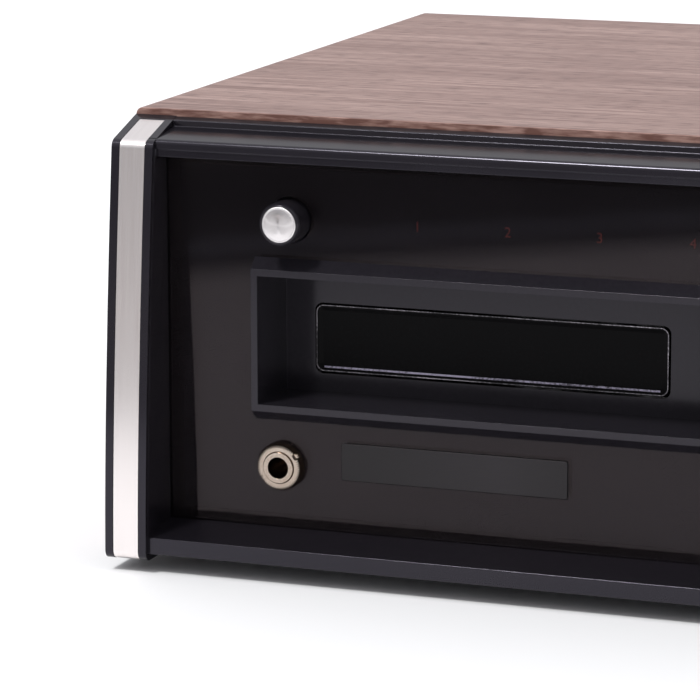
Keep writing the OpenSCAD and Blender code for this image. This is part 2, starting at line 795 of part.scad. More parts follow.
module tape_bezel() color("#1b1b1d") {
  difference() {
    union() {
      block(rec_x - bezel_wall, rec_x + recess_w + bezel_wall, mouth_y, bezel_back,
        rec_z - bezel_wall, rec_z + recess_h + bezel_wall);
      // Bevels above and below, in front of the panel
      along_x(rec_x - bezel_wall, recess_w + 2 * bezel_wall) polygon([
        [mouth_y, rec_z - bezel_wall], [panel_y, rec_z - bezel_wall - bevel_h],
        [panel_y, rec_z + recess_h + bezel_wall + bevel_h], [mouth_y, rec_z + recess_h + bezel_wall]]);
    }
    block(rec_x, rec_x + recess_w, mouth_y - 1, door_y, rec_z, rec_z + recess_h);
    along_y(door_y - 1, door_t + 2)
      round_rect(dr_x - door_gap, dr_z - door_sweep, door_w + 2 * door_gap,
        door_h + door_gap + door_sweep, door_r);
  }
  // Lugs of the hinge pin
  for (x = [dr_x + lug_in, dr_x + door_w - lug_in - lug_w]) difference() {
    block(x, x + lug_w, bezel_back - eps, hinge_y + lug_r, hinge_z - lug_r, rec_z + recess_h + bezel_wall);
    rod_x(x - 1, hinge_y, hinge_z, lug_w + 2, hinge_d);
  }
}
function ear_places() = [dr_x + lug_in + lug_w + gap, dr_x + door_w - lug_in - lug_w - gap - ear_w];
module tape_door() color("#151517") {
  along_y(door_y, door_t) round_rect(dr_x, dr_z, door_w, door_h, door_r);
  // Raised rim round the door's face
  along_y(door_y - door_rim, door_rim + eps) difference() {
    round_rect(dr_x, dr_z, door_w, door_h, door_r);
    round_rect(dr_x + rim_w, dr_z + rim_w, door_w - 2 * rim_w, door_h - 2 * rim_w, door_r - 1);
  }
  // Ears up to the hinge pin
  for (x = ear_places()) difference() {
    union() {
      rod_x(x, hinge_y, hinge_z, ear_w, 2 * ear_r);
      block(x, x + ear_w, hinge_y - ear_r, hinge_y + ear_r, dr_z + door_h - 5, hinge_z);
      block(x, x + ear_w, bezel_back - eps, hinge_y, dr_z + door_h - 5, dr_z + door_h - 1);
    }
    rod_x(x - 1, hinge_y, hinge_z, ear_w + 2, hinge_d + 2 * run);
  }
}
module door_hinge_pin() color("silver")
  rod_x(dr_x + lug_in - 1, hinge_y, hinge_z, door_w - 2 * lug_in + 2, hinge_d);

// Torsion spring round the hinge pin, with the tail that bears on the bezel
module door_spring() color("gray") difference() {
  union() {
    rod_x(cart_x - 5, hinge_y, hinge_z, 10, hinge_d + 2.4);
    rod_y(cart_x - 4.4, bezel_back, hinge_z + 1.4, hinge_y - bezel_back, 0.8);
  }
  rod_x(cart_x - 6, hinge_y, hinge_z, 12, hinge_d + 0.4);
}

// ---- Channel selector ----

module channel_knob() color("#141416") difference() {
  union() {
    rod_y(ch_x, ch_front + 1, ch_z, ch_back - ch_front - 1, channel_d);
    translate([ch_x, ch_front, ch_z]) rotate([-90, 0, 0])
      cylinder(h = 1, d1 = channel_d - 1.4, d2 = channel_d);
  }
  rod_y(ch_x, ch_front - 1, ch_z, 2, channel_d - 2.2);
  rod_y(ch_x, ch_back - shaft_in, ch_z, shaft_in + 1, plunger_d);
}
module channel_knob_cap() color("#c8c4c2")
  rod_y(ch_x, ch_front - 0.3, ch_z, 1.3, channel_d - 2.3);

module channel_plunger() color("silver") {
  rod_y(ch_x, ch_back - shaft_in, ch_z, plunger_end - ch_back + shaft_in, plunger_d);
  rod_y(ch_x, collar_y, ch_z, collar_t, plunger_d + 4);
}

// Compression spring between the plunger's collar and the switch
function spring_point(i) = let (t = i / spring_steps, y = collar_y + collar_t + wire_d / 2 + 0.1
    + (spring_len - wire_d - 0.2) * t / spring_turns, a = 360 * t)
  [ch_x + spring_r * cos(a), y, ch_z + spring_r * sin(a)];
function spring_ring(i) = let (a = 360 * i / spring_steps, p = spring_point(i))
  [for (k = [0:wire_sides - 1]) let (b = 360 * k / wire_sides)
    p + wire_d / 2 * [cos(a) * cos(b), sin(b), sin(a) * cos(b)]];
module channel_spring() color("gray") {
  rings = spring_turns * spring_steps + 1;
  points = [for (i = [0:rings - 1]) each spring_ring(i)];
  sides = [for (i = [0:rings - 2], k = [0:wire_sides - 1]) let (
      a = i * wire_sides + k, b = i * wire_sides + (k + 1) % wire_sides)
    each [[a, b, b + wire_sides], [a, b + wire_sides, a + wire_sides]]];
  ends = [for (k = [1:wire_sides - 2]) each [[0, k + 1, k],
    [(rings - 1) * wire_sides, (rings - 1) * wire_sides + k, (rings - 1) * wire_sides + k + 1]]];
  polyhedron(points, concat(sides, ends), convexity = 10);
}
// Least gap between two turns
echo(spring_gap = (spring_len - wire_d - 0.2) / spring_turns - wire_d);

module channel_switch() color("#3b5a3c") difference() {
  union() {
    block(ch_x - switch_w / 2, ch_x + switch_w / 2, switch_y, switch_y + switch_d, ch_z - 9, ch_z + 7);
    // Foot that carries the switch from the subpanel
    block(ch_x - switch_w / 2, ch_x + switch_w / 2, sub_back, switch_y + 2, ch_z - 10.5, ch_z - 9 + eps);
    block(ch_x - switch_w / 2, ch_x + switch_w / 2, sub_back, sub_back + sheet_t, ch_z - 10.5, ch_z - 7);
  }
  rod_y(ch_x, switch_y - 1, ch_z, switch_d - 1, plunger_d + 2 * run);
}

function lamp_places() = [for (i = [0:lamp_count - 1]) lp_x + i * lamp_pitch];
module channel_indicator() color("#26262a") {
  difference() {
    block(lp_x - lamp_box + 1, lamp_end + lamp_box - 1, panel_back + 1, lamp_back,
      lp_z - lamp_box + 2, lp_z + lamp_box - 2);
    for (x = lamp_places()) {
      rod_y(x, panel_back + 2, lp_z, lamp_back - panel_back - 4, well_d);
      // Numeral window
      rod_y(x, panel_back, lp_z, 3, window_d);
    }
  }
  // Ears against the subpanel
  for (x = [lp_x - lamp_box - 4, lamp_end + lamp_box - 1 - eps])
    block(x, x + 5 + eps, sub_back, sub_back + 1.5, lp_z - 5, lp_z + 5);
  // Lamps
  for (x = lamp_places()) rod_y(x, panel_back + 5, lp_z, lamp_back - 2 - panel_back - 5 + eps, lamp_d);
}

// ---- Headphone socket ----

module headphone_jack() color("#9a9890") difference() {
  union() {
    rod_y(jk_x, jack_front, jk_z, panel_back - jack_front + 1, jack_neck);
    block(jk_x - jack_body_w / 2, jk_x + jack_body_w / 2, panel_back, jack_front + jack_depth + 2,
      jk_z - jack_body_h / 2, jk_z + jack_body_h / 2);
  }
  rod_y(jk_x, jack_front - 1, jk_z, jack_depth + 1, jack_bore);
}
module headphone_nut() color("#b9b4ac") difference() {
  rod_y(jk_x, panel_y - jack_nut_t, jk_z, jack_nut_t, jack_nut);
  rod_y(jk_x, panel_y - jack_nut_t - 1, jk_z, jack_nut_t + 2, jack_neck);
  // Spanner notches
  for (a = [0, 180]) translate([jk_x, panel_y - jack_nut_t, jk_z]) rotate([0, a + 35, 0])
    translate([jack_nut / 2 - 1.6, -1, -0.7]) cube([3, 2, 1.4]);
}

// ---- Dial ----

module dial_plate() color("#26302c")
  block(max(dl_x - dial_w / 2, lamp_end + lamp_box + 6), dl_x + dial_w / 2,
    sub_y - dial_t, sub_y, sub_top - dial_h, sub_top);

module dial_pointer() color("#c63a2a") {
  block(dl_x + pointer_x - 0.6, dl_x + pointer_x + 0.6, needle_y, needle_y + 1,
    sub_top - dial_h + 3, sub_top + 2.4);
  block(dl_x + pointer_x - 4, dl_x + pointer_x + 4, needle_y, groove_y + 1.2,
    sub_top + gap, sub_top + 2.4);
  // Clip down to the dial cord
  block(dl_x + pointer_x - 3, dl_x + pointer_x + 3, groove_y - 1.2, groove_y + 1.2,
    cord_z + cord_d / 2 + gap, sub_top + 1);
}

// Direction of the outer tangent's normal from wheel w to wheel v, each [x, z, radius]
function tangent_angle(w, v) =
  let (dx = v[0] - w[0], dz = v[1] - w[1])
  atan2(dz, dx) + acos((w[2] - v[2]) / norm([dx, dz]));
// Edge of a taut loop round wheels listed clockwise, at a distance t outside their radii
function loop_points(wheels, t) = [for (i = [0:len(wheels) - 1]) let (
    n = len(wheels),
    w = wheels[i],
    a_in = tangent_angle(wheels[(i + n - 1) % n], w),
    turn = (a_in - tangent_angle(w, wheels[(i + 1) % n]) + 720) % 360,
    steps = ceil(turn / 6))
  each [for (k = [0:steps]) let (a = a_in - turn * k / steps)
    [w[0], w[1]] + (w[2] + t) * [cos(a), sin(a)]]];
module loop(wheels, t) difference() {
  polygon(loop_points(wheels, t));
  polygon(loop_points(wheels, 0));
}

module dial_cord() color("#d8cfa8")
  along_y(groove_y - cord_d / 2, cord_d) loop(CORD_WHEELS, cord_d);

module grooved_wheel(x, z, r, w, bore, rim) {
  translate([x, groove_y - w / 2, z]) rotate([-90, 0, 0])
    rotate_extrude() polygon([[bore / 2, 0], [r + rim, 0], [r + rim, w * 0.2], [r, w * 0.32],
      [r, w * 0.68], [r + rim, w * 0.8], [r + rim, w], [bore / 2, w]]);
}
module dial_pulley_left() color("white")
  grooved_wheel(dl_x - pulley_span / 2, pulley_z, pulley_r, pulley_w, post_d + 2 * run, flange);
module dial_pulley_right() color("white")
  grooved_wheel(dl_x + pulley_span / 2, pulley_z, pulley_r, pulley_w, post_d + 2 * run, flange);
module dial_drum() color("#e4e0d4") difference() {
  grooved_wheel(dl_x, drum_z, drum_r, drum_w, shaft_d, flange);
  // Holes that lighten the drum; the cord's spring is hooked in one of them
  for (a = [90, 210, 330]) translate([dl_x, groove_y, drum_z]) rotate([0, a, 0])
    rod_y(drum_r * 0.6, -drum_w, 0, 2 * drum_w, drum_r * 0.4);
}

module tuning_rotor() color("#c0c0b8") {
  rod_y(dl_x, drum_y - 2, drum_z, vane_end + 6 - drum_y, shaft_d);
  for (i = [0:vane_count - 1])
    translate([dl_x, vane_y + i * vane_pitch, drum_z]) rotate([-90, 0, 0]) difference() {
      cylinder(h = vane_t, r = vane_r);
      translate([-vane_r, 0.6 * shaft_d, -1]) cube([2 * vane_r, vane_r, vane_t + 2]);
    }
}
module tuning_capacitor() color("#9aa0a0") {
  // End plates with the rotor's bearings
  for (y = [vane_y - plate_air - frame_t, vane_end + 1]) difference() {
    block(dl_x - cap_half, dl_x + cap_half, y, y + frame_t, z_floor, drum_z + cap_half);
    rod_y(dl_x, y - 1, drum_z, frame_t + 2, shaft_d + 2 * run);
  }
  // Foot on the chassis, and the frame's floor
  for (z = [z_floor, drum_z - cap_half])
    translate([dl_x - cap_half, vane_y - plate_air - eps, z])
      cube([2 * cap_half, vane_end + 1 - vane_y + plate_air + 2 * eps, frame_t]);
  // Stator plates between the vanes
  for (i = [0:vane_count - 2])
    translate([dl_x - vane_r, vane_y + (i + 0.5) * vane_pitch, drum_z - cap_half + frame_t - eps])
      cube([2 * vane_r, vane_t, cap_half - frame_t - shaft_d + eps]);
}

module knob(x, z, d, length) {
  difference() {
    union() {
      rod_y(x, panel_y - length + 1, z, length - 1 - gap, d);
      translate([x, panel_y - length, z]) rotate([-90, 0, 0]) cylinder(h = 1, d1 = d - 1.6, d2 = d);
    }
    rod_y(x, panel_y - length - 1, z, 2, d - 2.4);
    rod_y(x, panel_y - length + 3 - seam, z, length, shaft_d + 2 * seam);
  }
  // Spun cap in the knob's face
  rod_y(x, panel_y - length - 0.3, z, 1.3 - seam, d - 2.4 - 2 * seam);
}
module knob_shaft(x, z, y_end, length) {
  rod_y(x, panel_y - length + 3, z, y_end - panel_y + length - 3, shaft_d);
}
module turned_knob(x) color("#141416") {
  knob(x, rw_z, knob_d, knob_len);
  knob_shaft(x, rw_z, sub_back + pot_len - 3 - gap, knob_len);
}
module function_knob() turned_knob(knob_places()[0]);
module tone_knob() turned_knob(knob_places()[1]);
module balance_knob() turned_knob(knob_places()[2]);
module volume_knob() turned_knob(knob_places()[3]);

module rotary_controls() color("#8d8f86") {
  // Body of the power switch
  difference() {
    block(pw_x - 10, pw_x + 10, sub_back, sub_back + 20, rw_z - 10, rw_z + 10);
    rod_y(pw_x, sub_back - 1, rw_z, 7 + power_travel, power_d + 2 * run);
  }
  for (x = knob_places()) {
    difference() {
      union() {
        rod_y(x, sub_back, rw_z, pot_len, pot_d);
        rod_y(x, pot_front, rw_z, sub_back - pot_front + eps, shaft_d + 3);
      }
      rod_y(x, pot_front - 1, rw_z, sub_back + pot_len - 2 - pot_front, shaft_d + 2 * run);
    }
    // Fixing nut in front of the subpanel
    difference() {
      rod_y(x, sub_y - nut_t, rw_z, nut_t, shaft_d + 7);
      rod_y(x, sub_y - nut_t - 1, rw_z, nut_t + 2, shaft_d + 3 + 2 * seam);
    }
  }
}

module tuning_spindle() color("silver") {
  rod_y(tn_x, panel_y - knob_len + 3, tn_z, groove_y + 4 - panel_y + knob_len - 3, shaft_d);
  // Groove for the cord, between two collars
  rod_y(tn_x, groove_y - 1.5 - eps, tn_z, 3 + 2 * eps, 2 * spindle_r);
  for (y = [groove_y - 3, groove_y + 1.5]) rod_y(tn_x, y, tn_z, 1.5, shaft_d + 6);
  // Weight that keeps the knob turning
  rod_y(tn_x, groove_y + 4 - eps, tn_z, 5, weight_d);
}
module tuning_knob() color("#141416") knob(tn_x, tn_z, tune_d, knob_len);

module power_button() color("#141416")
  rod_y(pw_x, panel_y - power_len, rw_z, sub_back + 5 - panel_y + power_len, power_d);

// ---- Tape mechanism ----

module deck_plate() color("#b8bab4") difference() {
  union() {
    block(deck_x0, deck_x1, deck_y0, deck_y1, deck_z, deck_top);
    // Sides down to the chassis, with their feet
    for (x = [deck_x0, deck_x1 - deck_t])
      block(x, x + deck_t, deck_y0, deck_y1, z_floor, deck_z + eps);
    for (x = [deck_x0, deck_x1 - foot_w])
      block(x, x + foot_w, deck_y0, deck_y1, z_floor, z_floor + deck_t);
    // Bearing of the capstan
    rod_z(cps_x, cps_y, deck_z - 4, deck_t + 9, capstan_d + 5);
    // Posts of the carriage, the cam and the catch arm
    rod_z(guide_x, guide_y, deck_top - eps, carriage_z + 20 - deck_top, pivot_d);
    rod_z(cam_x, cam_y, deck_top - eps, cam_z + cam_t - deck_top + 0.5, cam_shaft);
    rod_z(catch_piv_x, catch_piv_y, deck_top - eps, catch_z + catch_h + 2 - deck_top, pivot_d);
    // Guides at the cartridge's sides behind the open door, with a gap for the catch roller
    for (y = [[guide_start, catch_y - catch_d], [catch_y + catch_d, cart_y - 4]])
      block(cart_x - cart_w / 2 - gap - deck_t, cart_x - cart_w / 2 - gap, y[0], y[1],
        deck_top - eps, deck_top + cart_h - 4);
    block(cart_x + cart_w / 2 + gap, cart_x + cart_w / 2 + gap + deck_t, guide_start, cart_y - 4,
      deck_top - eps, deck_top + cart_h - 4);
  }
  rod_z(cps_x, cps_y, deck_z - 6, 20, capstan_d + 2 * run);
  rod_z(mot_x, mot_y, deck_z - 1, deck_t + 2, mot_shaft + 6);
}

module catch_arm() color("silver") difference() {
  union() {
    rod_z(catch_piv_x, catch_piv_y, catch_z, catch_h, pivot_d + 5);
    translate([catch_piv_x, catch_piv_y, catch_z])
      rotate([0, 0, atan2(catch_y - catch_piv_y, catch_x - catch_piv_x)]) translate([0, -2.5, 0])
        cube([norm([catch_y - catch_piv_y, catch_x - catch_piv_x]), 5, arm_t]);
    rod_z(catch_x, catch_y, catch_z, catch_h, post_d);
    rod_z(catch_x, catch_y, catch_z, arm_t, post_d + 3);
  }
  rod_z(catch_piv_x, catch_piv_y, catch_z - 1, catch_h + 2, pivot_d + 2 * run);
}
module catch_roller() color("#202020") difference() {
  rod_z(catch_x, catch_y, catch_z + arm_t + gap, catch_h - arm_t - 1, catch_d);
  rod_z(catch_x, catch_y, catch_z, catch_h + 2, post_d + 2 * run);
}

module drive_motor() color("#8f9290") difference() {
  union() {
    rod_z(mot_x, mot_y, deck_top, motor_h, motor_d);
    rod_z(mot_x, mot_y, deck_top + motor_h - eps, 2, motor_d / 3);
    // Flange on the deck
    translate([0, 0, deck_top]) linear_extrude(frame_t)
      round_rect(mot_x - motor_d / 2 - mot_flange, mot_y - mot_flange_w / 2,
        motor_d + 2 * mot_flange, mot_flange_w, mot_flange / 2);
  }
  rod_z(mot_x, mot_y, deck_top - 1, motor_h - 5, mot_shaft + 2 * run);
  for (s = [-1, 1])
    rod_z(mot_x + s * (motor_d / 2 + mot_flange / 2), mot_y, deck_top - 1, frame_t + 2, rear_screw);
}
module motor_pulley() color("#b08d3c") {
  rod_z(mot_x, mot_y, fly_z - 1, deck_top + motor_h - 8 - fly_z, mot_shaft);
  rod_z(mot_x, mot_y, fly_z - 1, fly_t + 2, motor_pulley_d);
}
module drive_belt() color("#181818") {
  wheels = [[mot_x, mot_y, motor_pulley_d / 2 + gap], [cps_x, cps_y, fly_d / 2 + gap]];
  translate([0, 0, fly_z + fly_t / 2 - 2]) linear_extrude(4) loop(wheels, belt_t);
}
module flywheel() color("#a9a59a") difference() {
  rod_z(cps_x, cps_y, fly_z, fly_t, fly_d);
  rod_z(cps_x, cps_y, fly_z + fly_t - 2, 3, fly_d - 16);
  rod_z(cps_x, cps_y, fly_z - 1, fly_t + 2, capstan_d);
}
module capstan() color("silver")
  rod_z(cps_x, cps_y, z_floor + 2 + gap / 3, deck_top + cart_h + 4 - z_floor - 2, capstan_d);

module playback_head() color("#b9b7b0")
  block(carriage_x - head_w / 2, carriage_x + head_w / 2, head_y, head_y + head_d,
    head_z, head_z + head_w);
module head_carriage() color("#6d6f70") difference() {
  union() {
    // Plate behind the head
    block(guide_x - 6, carriage_x + head_w / 2 + 1, head_y + head_d, head_y + head_d + 3,
      head_z - 1, carriage_z + 12);
    // Boss on the guide post, and the follower's arm with its pin
    block(guide_x - 6, guide_x + 8, head_y + head_d + 3 - eps, guide_y + 4, carriage_z, carriage_z + 12);
    block(follower_x - 2, follower_x + 2, guide_y, cam_y + 2, carriage_z + 1, carriage_z + 5);
    rod_z(follower_x, cam_y, cam_z + cam_t + cam_air, carriage_z + 2 - cam_z - cam_t - cam_air, pin_d);
  }
  rod_z(guide_x, guide_y, carriage_z - 2, 20, pivot_d + 2 * run);
}
// Cam with one flat step for each head position; the follower stands over the lowest one
module head_cam() color("#d9d4c2") translate([cam_x, cam_y, 0]) difference() {
  union() {
    rod_z(0, 0, cam_z - wall_t, wall_t + cam_t, 2 * cam_r);
    // Each step stands on the one before, over a sector that is a quarter turn smaller
    for (k = [1:cam_count - 1]) translate([0, 0, cam_z + cam_t + (k - 1) * cam_step - eps])
      linear_extrude(cam_step + eps) intersection() {
        circle(cam_r);
        polygon(concat([[0, 0]], [for (a = [-150:30:180 - 90 * k]) 2 * cam_r * [cos(a), sin(a)]]));
      }
  }
  rod_z(0, 0, cam_z - wall_t - 1, cam_t + cam_count * cam_step + wall_t + 2, cam_shaft + 2 * run);
  // Ratchet notches
  for (k = [0:cam_count - 1]) rotate([0, 0, 45 + 90 * k])
    rod_z(cam_r, 0, cam_z - wall_t - 1, wall_t + 1.5, 4);
}

module solenoid() color("#7a7d80") difference() {
  union() {
    // Frame and coil
    block(sol_x - sol_len, sol_x, sol_y - sol_r, sol_y + sol_r, deck_top, deck_top + 2);
    for (x = [sol_x - sol_len, sol_x - 2])
      block(x, x + 2, sol_y - sol_r, sol_y + sol_r, deck_top, deck_top + 2 * sol_r);
    rod_x(sol_x - sol_len + 2 - eps, sol_y, deck_top + sol_r, sol_len - 4 + 2 * eps, 2 * sol_r - 3);
  }
  rod_x(sol_x - sol_len + 4, sol_y, deck_top + sol_r, sol_len, sol_d + 2 * run);
}
module solenoid_plunger() color("silver") {
  rod_x(sol_x - sol_len + 4 + sol_travel + 1, sol_y, deck_top + sol_r, sol_len + 5 - sol_travel, sol_d);
  // Pawl that steps the cam
  block(sol_x + 8, sol_x + 8 + wall_t, sol_y - 2.5, sol_y + 2.5, deck_top + 0.8, deck_top + sol_r);
  block(sol_x + 8, cam_x - cam_r - gap, sol_y - 1.5, sol_y + 1.5, deck_top + 0.8, deck_top + 2);
}

// ---- Electrics ----

module main_board() color("#3c6b46") {
  block(pcb_x, pcb_x + board_w, pcb_y, pcb_y + board_d, pcb_z, pcb_top);
  translate([pcb_x, pcb_y, pcb_top - eps]) {
    // Filter capacitors
    for (i = [0:1]) rod_z(30 + i * 30, board_d - 18, 0, 36, 22);
    // Screened tuner, and the tuned circuits' cans beside it
    translate([board_w - 62, board_d - 40, 0]) cube([50, 30, 18]);
    for (i = [0:6]) translate([22 + i * 18, 14, 0]) cube([10, 10, 13]);
    // Small capacitors and a row of resistors
    for (i = [0:9]) rod_z(16 + i * 16, 44, 0, 10, 6);
    for (i = [0:13]) rod_x(16 + i * 11, 32, 1.2, 7, 2.4);
  }
}

module power_transformer() color("#6f6a60") translate([trafo_x, trafo_y, z_floor]) {
  // Laminated core
  block(-trafo_w / 2, trafo_w / 2, -trafo_stack / 2, trafo_stack / 2, 0, trafo_h);
  // Winding round the middle leg, between the bobbin's cheeks
  translate([0, 0, trafo_leg]) linear_extrude(trafo_h - 2 * trafo_leg)
    round_rect(-trafo_w / 2 + trafo_leg + 1, -trafo_d / 2 + 1, trafo_w - 2 * trafo_leg - 2, trafo_d - 2, 4);
  for (z = [trafo_leg, trafo_h - trafo_leg - wall_t])
    block(-trafo_w / 2 + trafo_leg, trafo_w / 2 - trafo_leg, -trafo_d / 2, trafo_d / 2, z, z + wall_t);
  // Mounting lugs
  difference() {
    block(-trafo_w / 2 - trafo_lug, trafo_w / 2 + trafo_lug, -trafo_stack / 3, trafo_stack / 3, 0, wall_t);
    for (s = [-1, 1]) rod_z(s * (trafo_w + trafo_lug) / 2, 0, -1, wall_t + 2, rear_screw);
  }
}

module heatsink() color("#26262a") {
  block(sink_x, sink_x + sink_w, rear_y - sink_t, rear_y, sink_z, sink_z + sink_h);
  for (i = [0:fin_count - 1])
    translate([sink_x + i * (sink_w - fin_t) / (fin_count - 1), rear_y - sink_t - fin_d, sink_z])
      cube([fin_t, fin_d + eps, sink_h - transistor_h - 4]);
  // Output transistors
  for (i = [0:3])
    translate([sink_x + sink_w * (i + 0.5) / 4 - transistor_w / 2, rear_y - sink_t - transistor_t,
      sink_z + sink_h - transistor_h - 2]) cube([transistor_w, transistor_t + eps, transistor_h]);
}

module ferrite_antenna() color("#4a4038") {
  rod_x(ferrite_x, ferrite_y, ferrite_z, ferrite_len, ferrite_d);
  // Tuned coil wound round the rod
  rod_x(ferrite_x + (ferrite_len - coil_len) / 2, ferrite_y, ferrite_z, coil_len, ferrite_d + 3);
  // Holders on the rear panel
  for (x = [ferrite_x + 10, ferrite_x + ferrite_len - 10 - holder_w])
    block(x, x + holder_w, ferrite_y - ferrite_d / 2 - 2, rear_y, ferrite_z - 4, ferrite_z + 4);
}

module phono_jacks() color("#cfc9b8")
  for (p = phono_places()) difference() {
    union() {
      rod_y(p[0], rear_y - 5, p[1], 5, phono_hole + 6);
      rod_y(p[0], rear_y - eps, p[1], sheet_t + phono_neck, phono_hole);
    }
    rod_y(p[0], rear_y - 3, p[1], sheet_t + phono_neck + 4, phono_bore);
  }

module screw_terminals() color("#b9b09a") {
  block(term_x - term_half, term_x + (terminal_count - 1) * term_pitch + term_half,
    rear_y + sheet_t, rear_y + sheet_t + 2, term_z - term_half, term_z + term_half);
  for (x = terminal_places()) {
    rod_y(x, rear_y + sheet_t + 2 - eps, term_z, 2.5, 2 * stud_d + 1);
    rod_y(x, rear_y - 3, term_z, sheet_t + 4, stud_d);
  }
}

// ---- Feet and screws ----

module feet() color("#202020") for (p = foot_places()) difference() {
  rod_z(p[0], p[1], 0, foot_h, foot_d);
  rod_z(p[0], p[1], -1, foot_h / 2 + 1, foot_head_d);
  rod_z(p[0], p[1], -1, foot_h + 2, foot_screw);
}

module screws() color("silver") {
  for (p = foot_places()) {
    rod_z(p[0], p[1], foot_h / 2 - head_t, head_t, foot_head_d - 0.6);
    rod_z(p[0], p[1], foot_h / 2 - eps, foot_h / 2 + sheet_t + 3, foot_screw);
  }
  for (x = rear_places()) {
    rod_y(x, rear_y + sheet_t, z_base + flange_h / 2, head_t, rear_screw + 3);
    rod_y(x, rear_y - sheet_t - 3, z_base + flange_h / 2, 2 * sheet_t + 3 + eps, rear_screw);
  }
  for (s = [-1, 1]) {
    rod_z(s * top_screw_x, rear_y - flange_h / 2, z_board - sheet_t - head_t, head_t, rear_screw + 3);
    rod_z(s * top_screw_x, rear_y - flange_h / 2, z_board - sheet_t - eps,
      sheet_t + pilot_h - 1, rear_screw);
  }
}

cabinet();
base_chassis();
rear_panel();
front_subpanel();
front_frame();
end_cap_left();
end_cap_right();
trim_strips();
smoked_panel();
nameplate();
tape_bezel();
tape_door();
door_hinge_pin();
door_spring();
channel_knob();
channel_knob_cap();
channel_plunger();
channel_spring();
channel_switch();
channel_indicator();
headphone_jack();
headphone_nut();
dial_plate();
dial_pointer();
dial_cord();
dial_pulley_left();
dial_pulley_right();
dial_drum();
tuning_rotor();
tuning_capacitor();
tuning_spindle();
tuning_knob();
volume_knob();
balance_knob();
tone_knob();
function_knob();
rotary_controls();
power_button();
deck_plate();
catch_arm();
catch_roller();
drive_motor();
motor_pulley();
drive_belt();
flywheel();
capstan();
playback_head();
head_carriage();
head_cam();
solenoid();
solenoid_plunger();
main_board();
power_transformer();
heatsink();
ferrite_antenna();
phono_jacks();
screw_terminals();
cord_bush();
feet();
screws();
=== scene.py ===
# %% [markdown]
# A table receiver with an 8-track player behind a flap door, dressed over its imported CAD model.
# The CAD model gives every size and joint. This notebook copies the solids that show and rounds
# their edges, builds the pieces whose fine shape the solids leave out, and gives each a finish.
# Lengths in the tables are millimetres, and MM turns them into Blender's metres.

import json
import math

import bmesh
import bpy
from mathutils import Matrix, Vector


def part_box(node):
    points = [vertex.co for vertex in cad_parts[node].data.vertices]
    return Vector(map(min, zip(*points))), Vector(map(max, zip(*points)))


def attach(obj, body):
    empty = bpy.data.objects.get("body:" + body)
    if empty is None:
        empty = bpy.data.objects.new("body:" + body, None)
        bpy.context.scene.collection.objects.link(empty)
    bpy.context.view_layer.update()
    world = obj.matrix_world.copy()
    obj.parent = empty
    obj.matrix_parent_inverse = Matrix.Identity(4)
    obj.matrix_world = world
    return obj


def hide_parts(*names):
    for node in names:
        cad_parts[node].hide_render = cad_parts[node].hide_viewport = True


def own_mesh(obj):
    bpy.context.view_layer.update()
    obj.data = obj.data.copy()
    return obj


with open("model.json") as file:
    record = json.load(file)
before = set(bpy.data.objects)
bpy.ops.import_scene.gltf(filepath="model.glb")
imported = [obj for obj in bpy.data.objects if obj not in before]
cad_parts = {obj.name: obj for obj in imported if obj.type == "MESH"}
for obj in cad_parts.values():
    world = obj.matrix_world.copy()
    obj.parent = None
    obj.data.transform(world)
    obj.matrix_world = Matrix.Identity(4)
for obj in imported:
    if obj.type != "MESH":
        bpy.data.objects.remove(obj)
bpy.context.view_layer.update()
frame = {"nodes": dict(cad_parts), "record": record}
MM = 0.001
nodes = frame["nodes"]
slots = {part["node"]: part["material_slot"] for part in frame["record"]["subparts"]}
bodies = {n: b for b, members in frame["record"]["behaviour"]["bodies"].items() for n in members}


def span(node):
    """Lowest and highest corner of a CAD node, in millimetres."""
    low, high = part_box(node)
    return [c / MM for c in low], [c / MM for c in high]


# %% [markdown]
# The photograph is a close view of the left half of the front, from a little to the right and
# above. A long lens keeps the cabinet's edges nearly parallel. The place and turn of the camera
# were worked out from those edges, so they are given here as plain numbers.

# %% Camera
camera_data = bpy.data.cameras.new("camera")
camera_data.lens = 195.69
camera_data.sensor_width = 36
camera = bpy.data.objects.new("camera", camera_data)
bpy.context.scene.collection.objects.link(camera)
camera_turn = Matrix.Rotation(math.radians(20.39), 4, "Z")
camera_tilt = Matrix.Rotation(math.radians(90 - 11.71), 4, "X")
camera_roll = Matrix.Rotation(math.radians(-0.12), 4, "Z")
camera.matrix_world = (
    Matrix.Translation((0.23578, -1.1727, 0.3017)) @ camera_turn @ camera_tilt @ camera_roll
)
bpy.context.scene.camera = camera
print("camera at", tuple(round(c, 3) for c in camera.location))

# %% [markdown]
# Every finish is made of nodes. These helpers turn a colour code into the linear numbers that
# a shader wants, and add one node with its settings and links.

# %% Helpers for finishes
def linear(code):
    """A six-digit sRGB hex colour as linear red, green, blue and full alpha."""
    parts = [int(code[i : i + 2], 16) / 255 for i in (0, 2, 4)]
    return [p / 12.92 if p <= 0.04045 else ((p + 0.055) / 1.055) ** 2.4 for p in parts] + [1.0]


def add(tree, kind, inputs=None, **settings):
    """One node of a kind, with its own settings, and values or links on its sockets."""
    made = tree.nodes.new(kind)
    for key, value in settings.items():
        setattr(made, key, value)
    for key, value in (inputs or {}).items():
        if isinstance(value, bpy.types.NodeSocket):
            tree.links.new(value, made.inputs[key])
        else:
            made.inputs[key].default_value = value
    return made


def new_finish(name, **sockets):
    """A material around one Principled shader, as (material, tree, shader)."""
    made = bpy.data.materials.new(name)
    made.use_nodes = True
    tree = made.node_tree
    shader = tree.nodes["Principled BSDF"]
    for key, value in sockets.items():
        shader.inputs[key.replace("_", " ")].default_value = value
    return made, tree, shader


MIX_FACTOR, MIX_A, MIX_B, MIX_RESULT = 0, 6, 7, 2
print("half grey is", [round(c, 3) for c in linear("808080")], "in linear numbers")

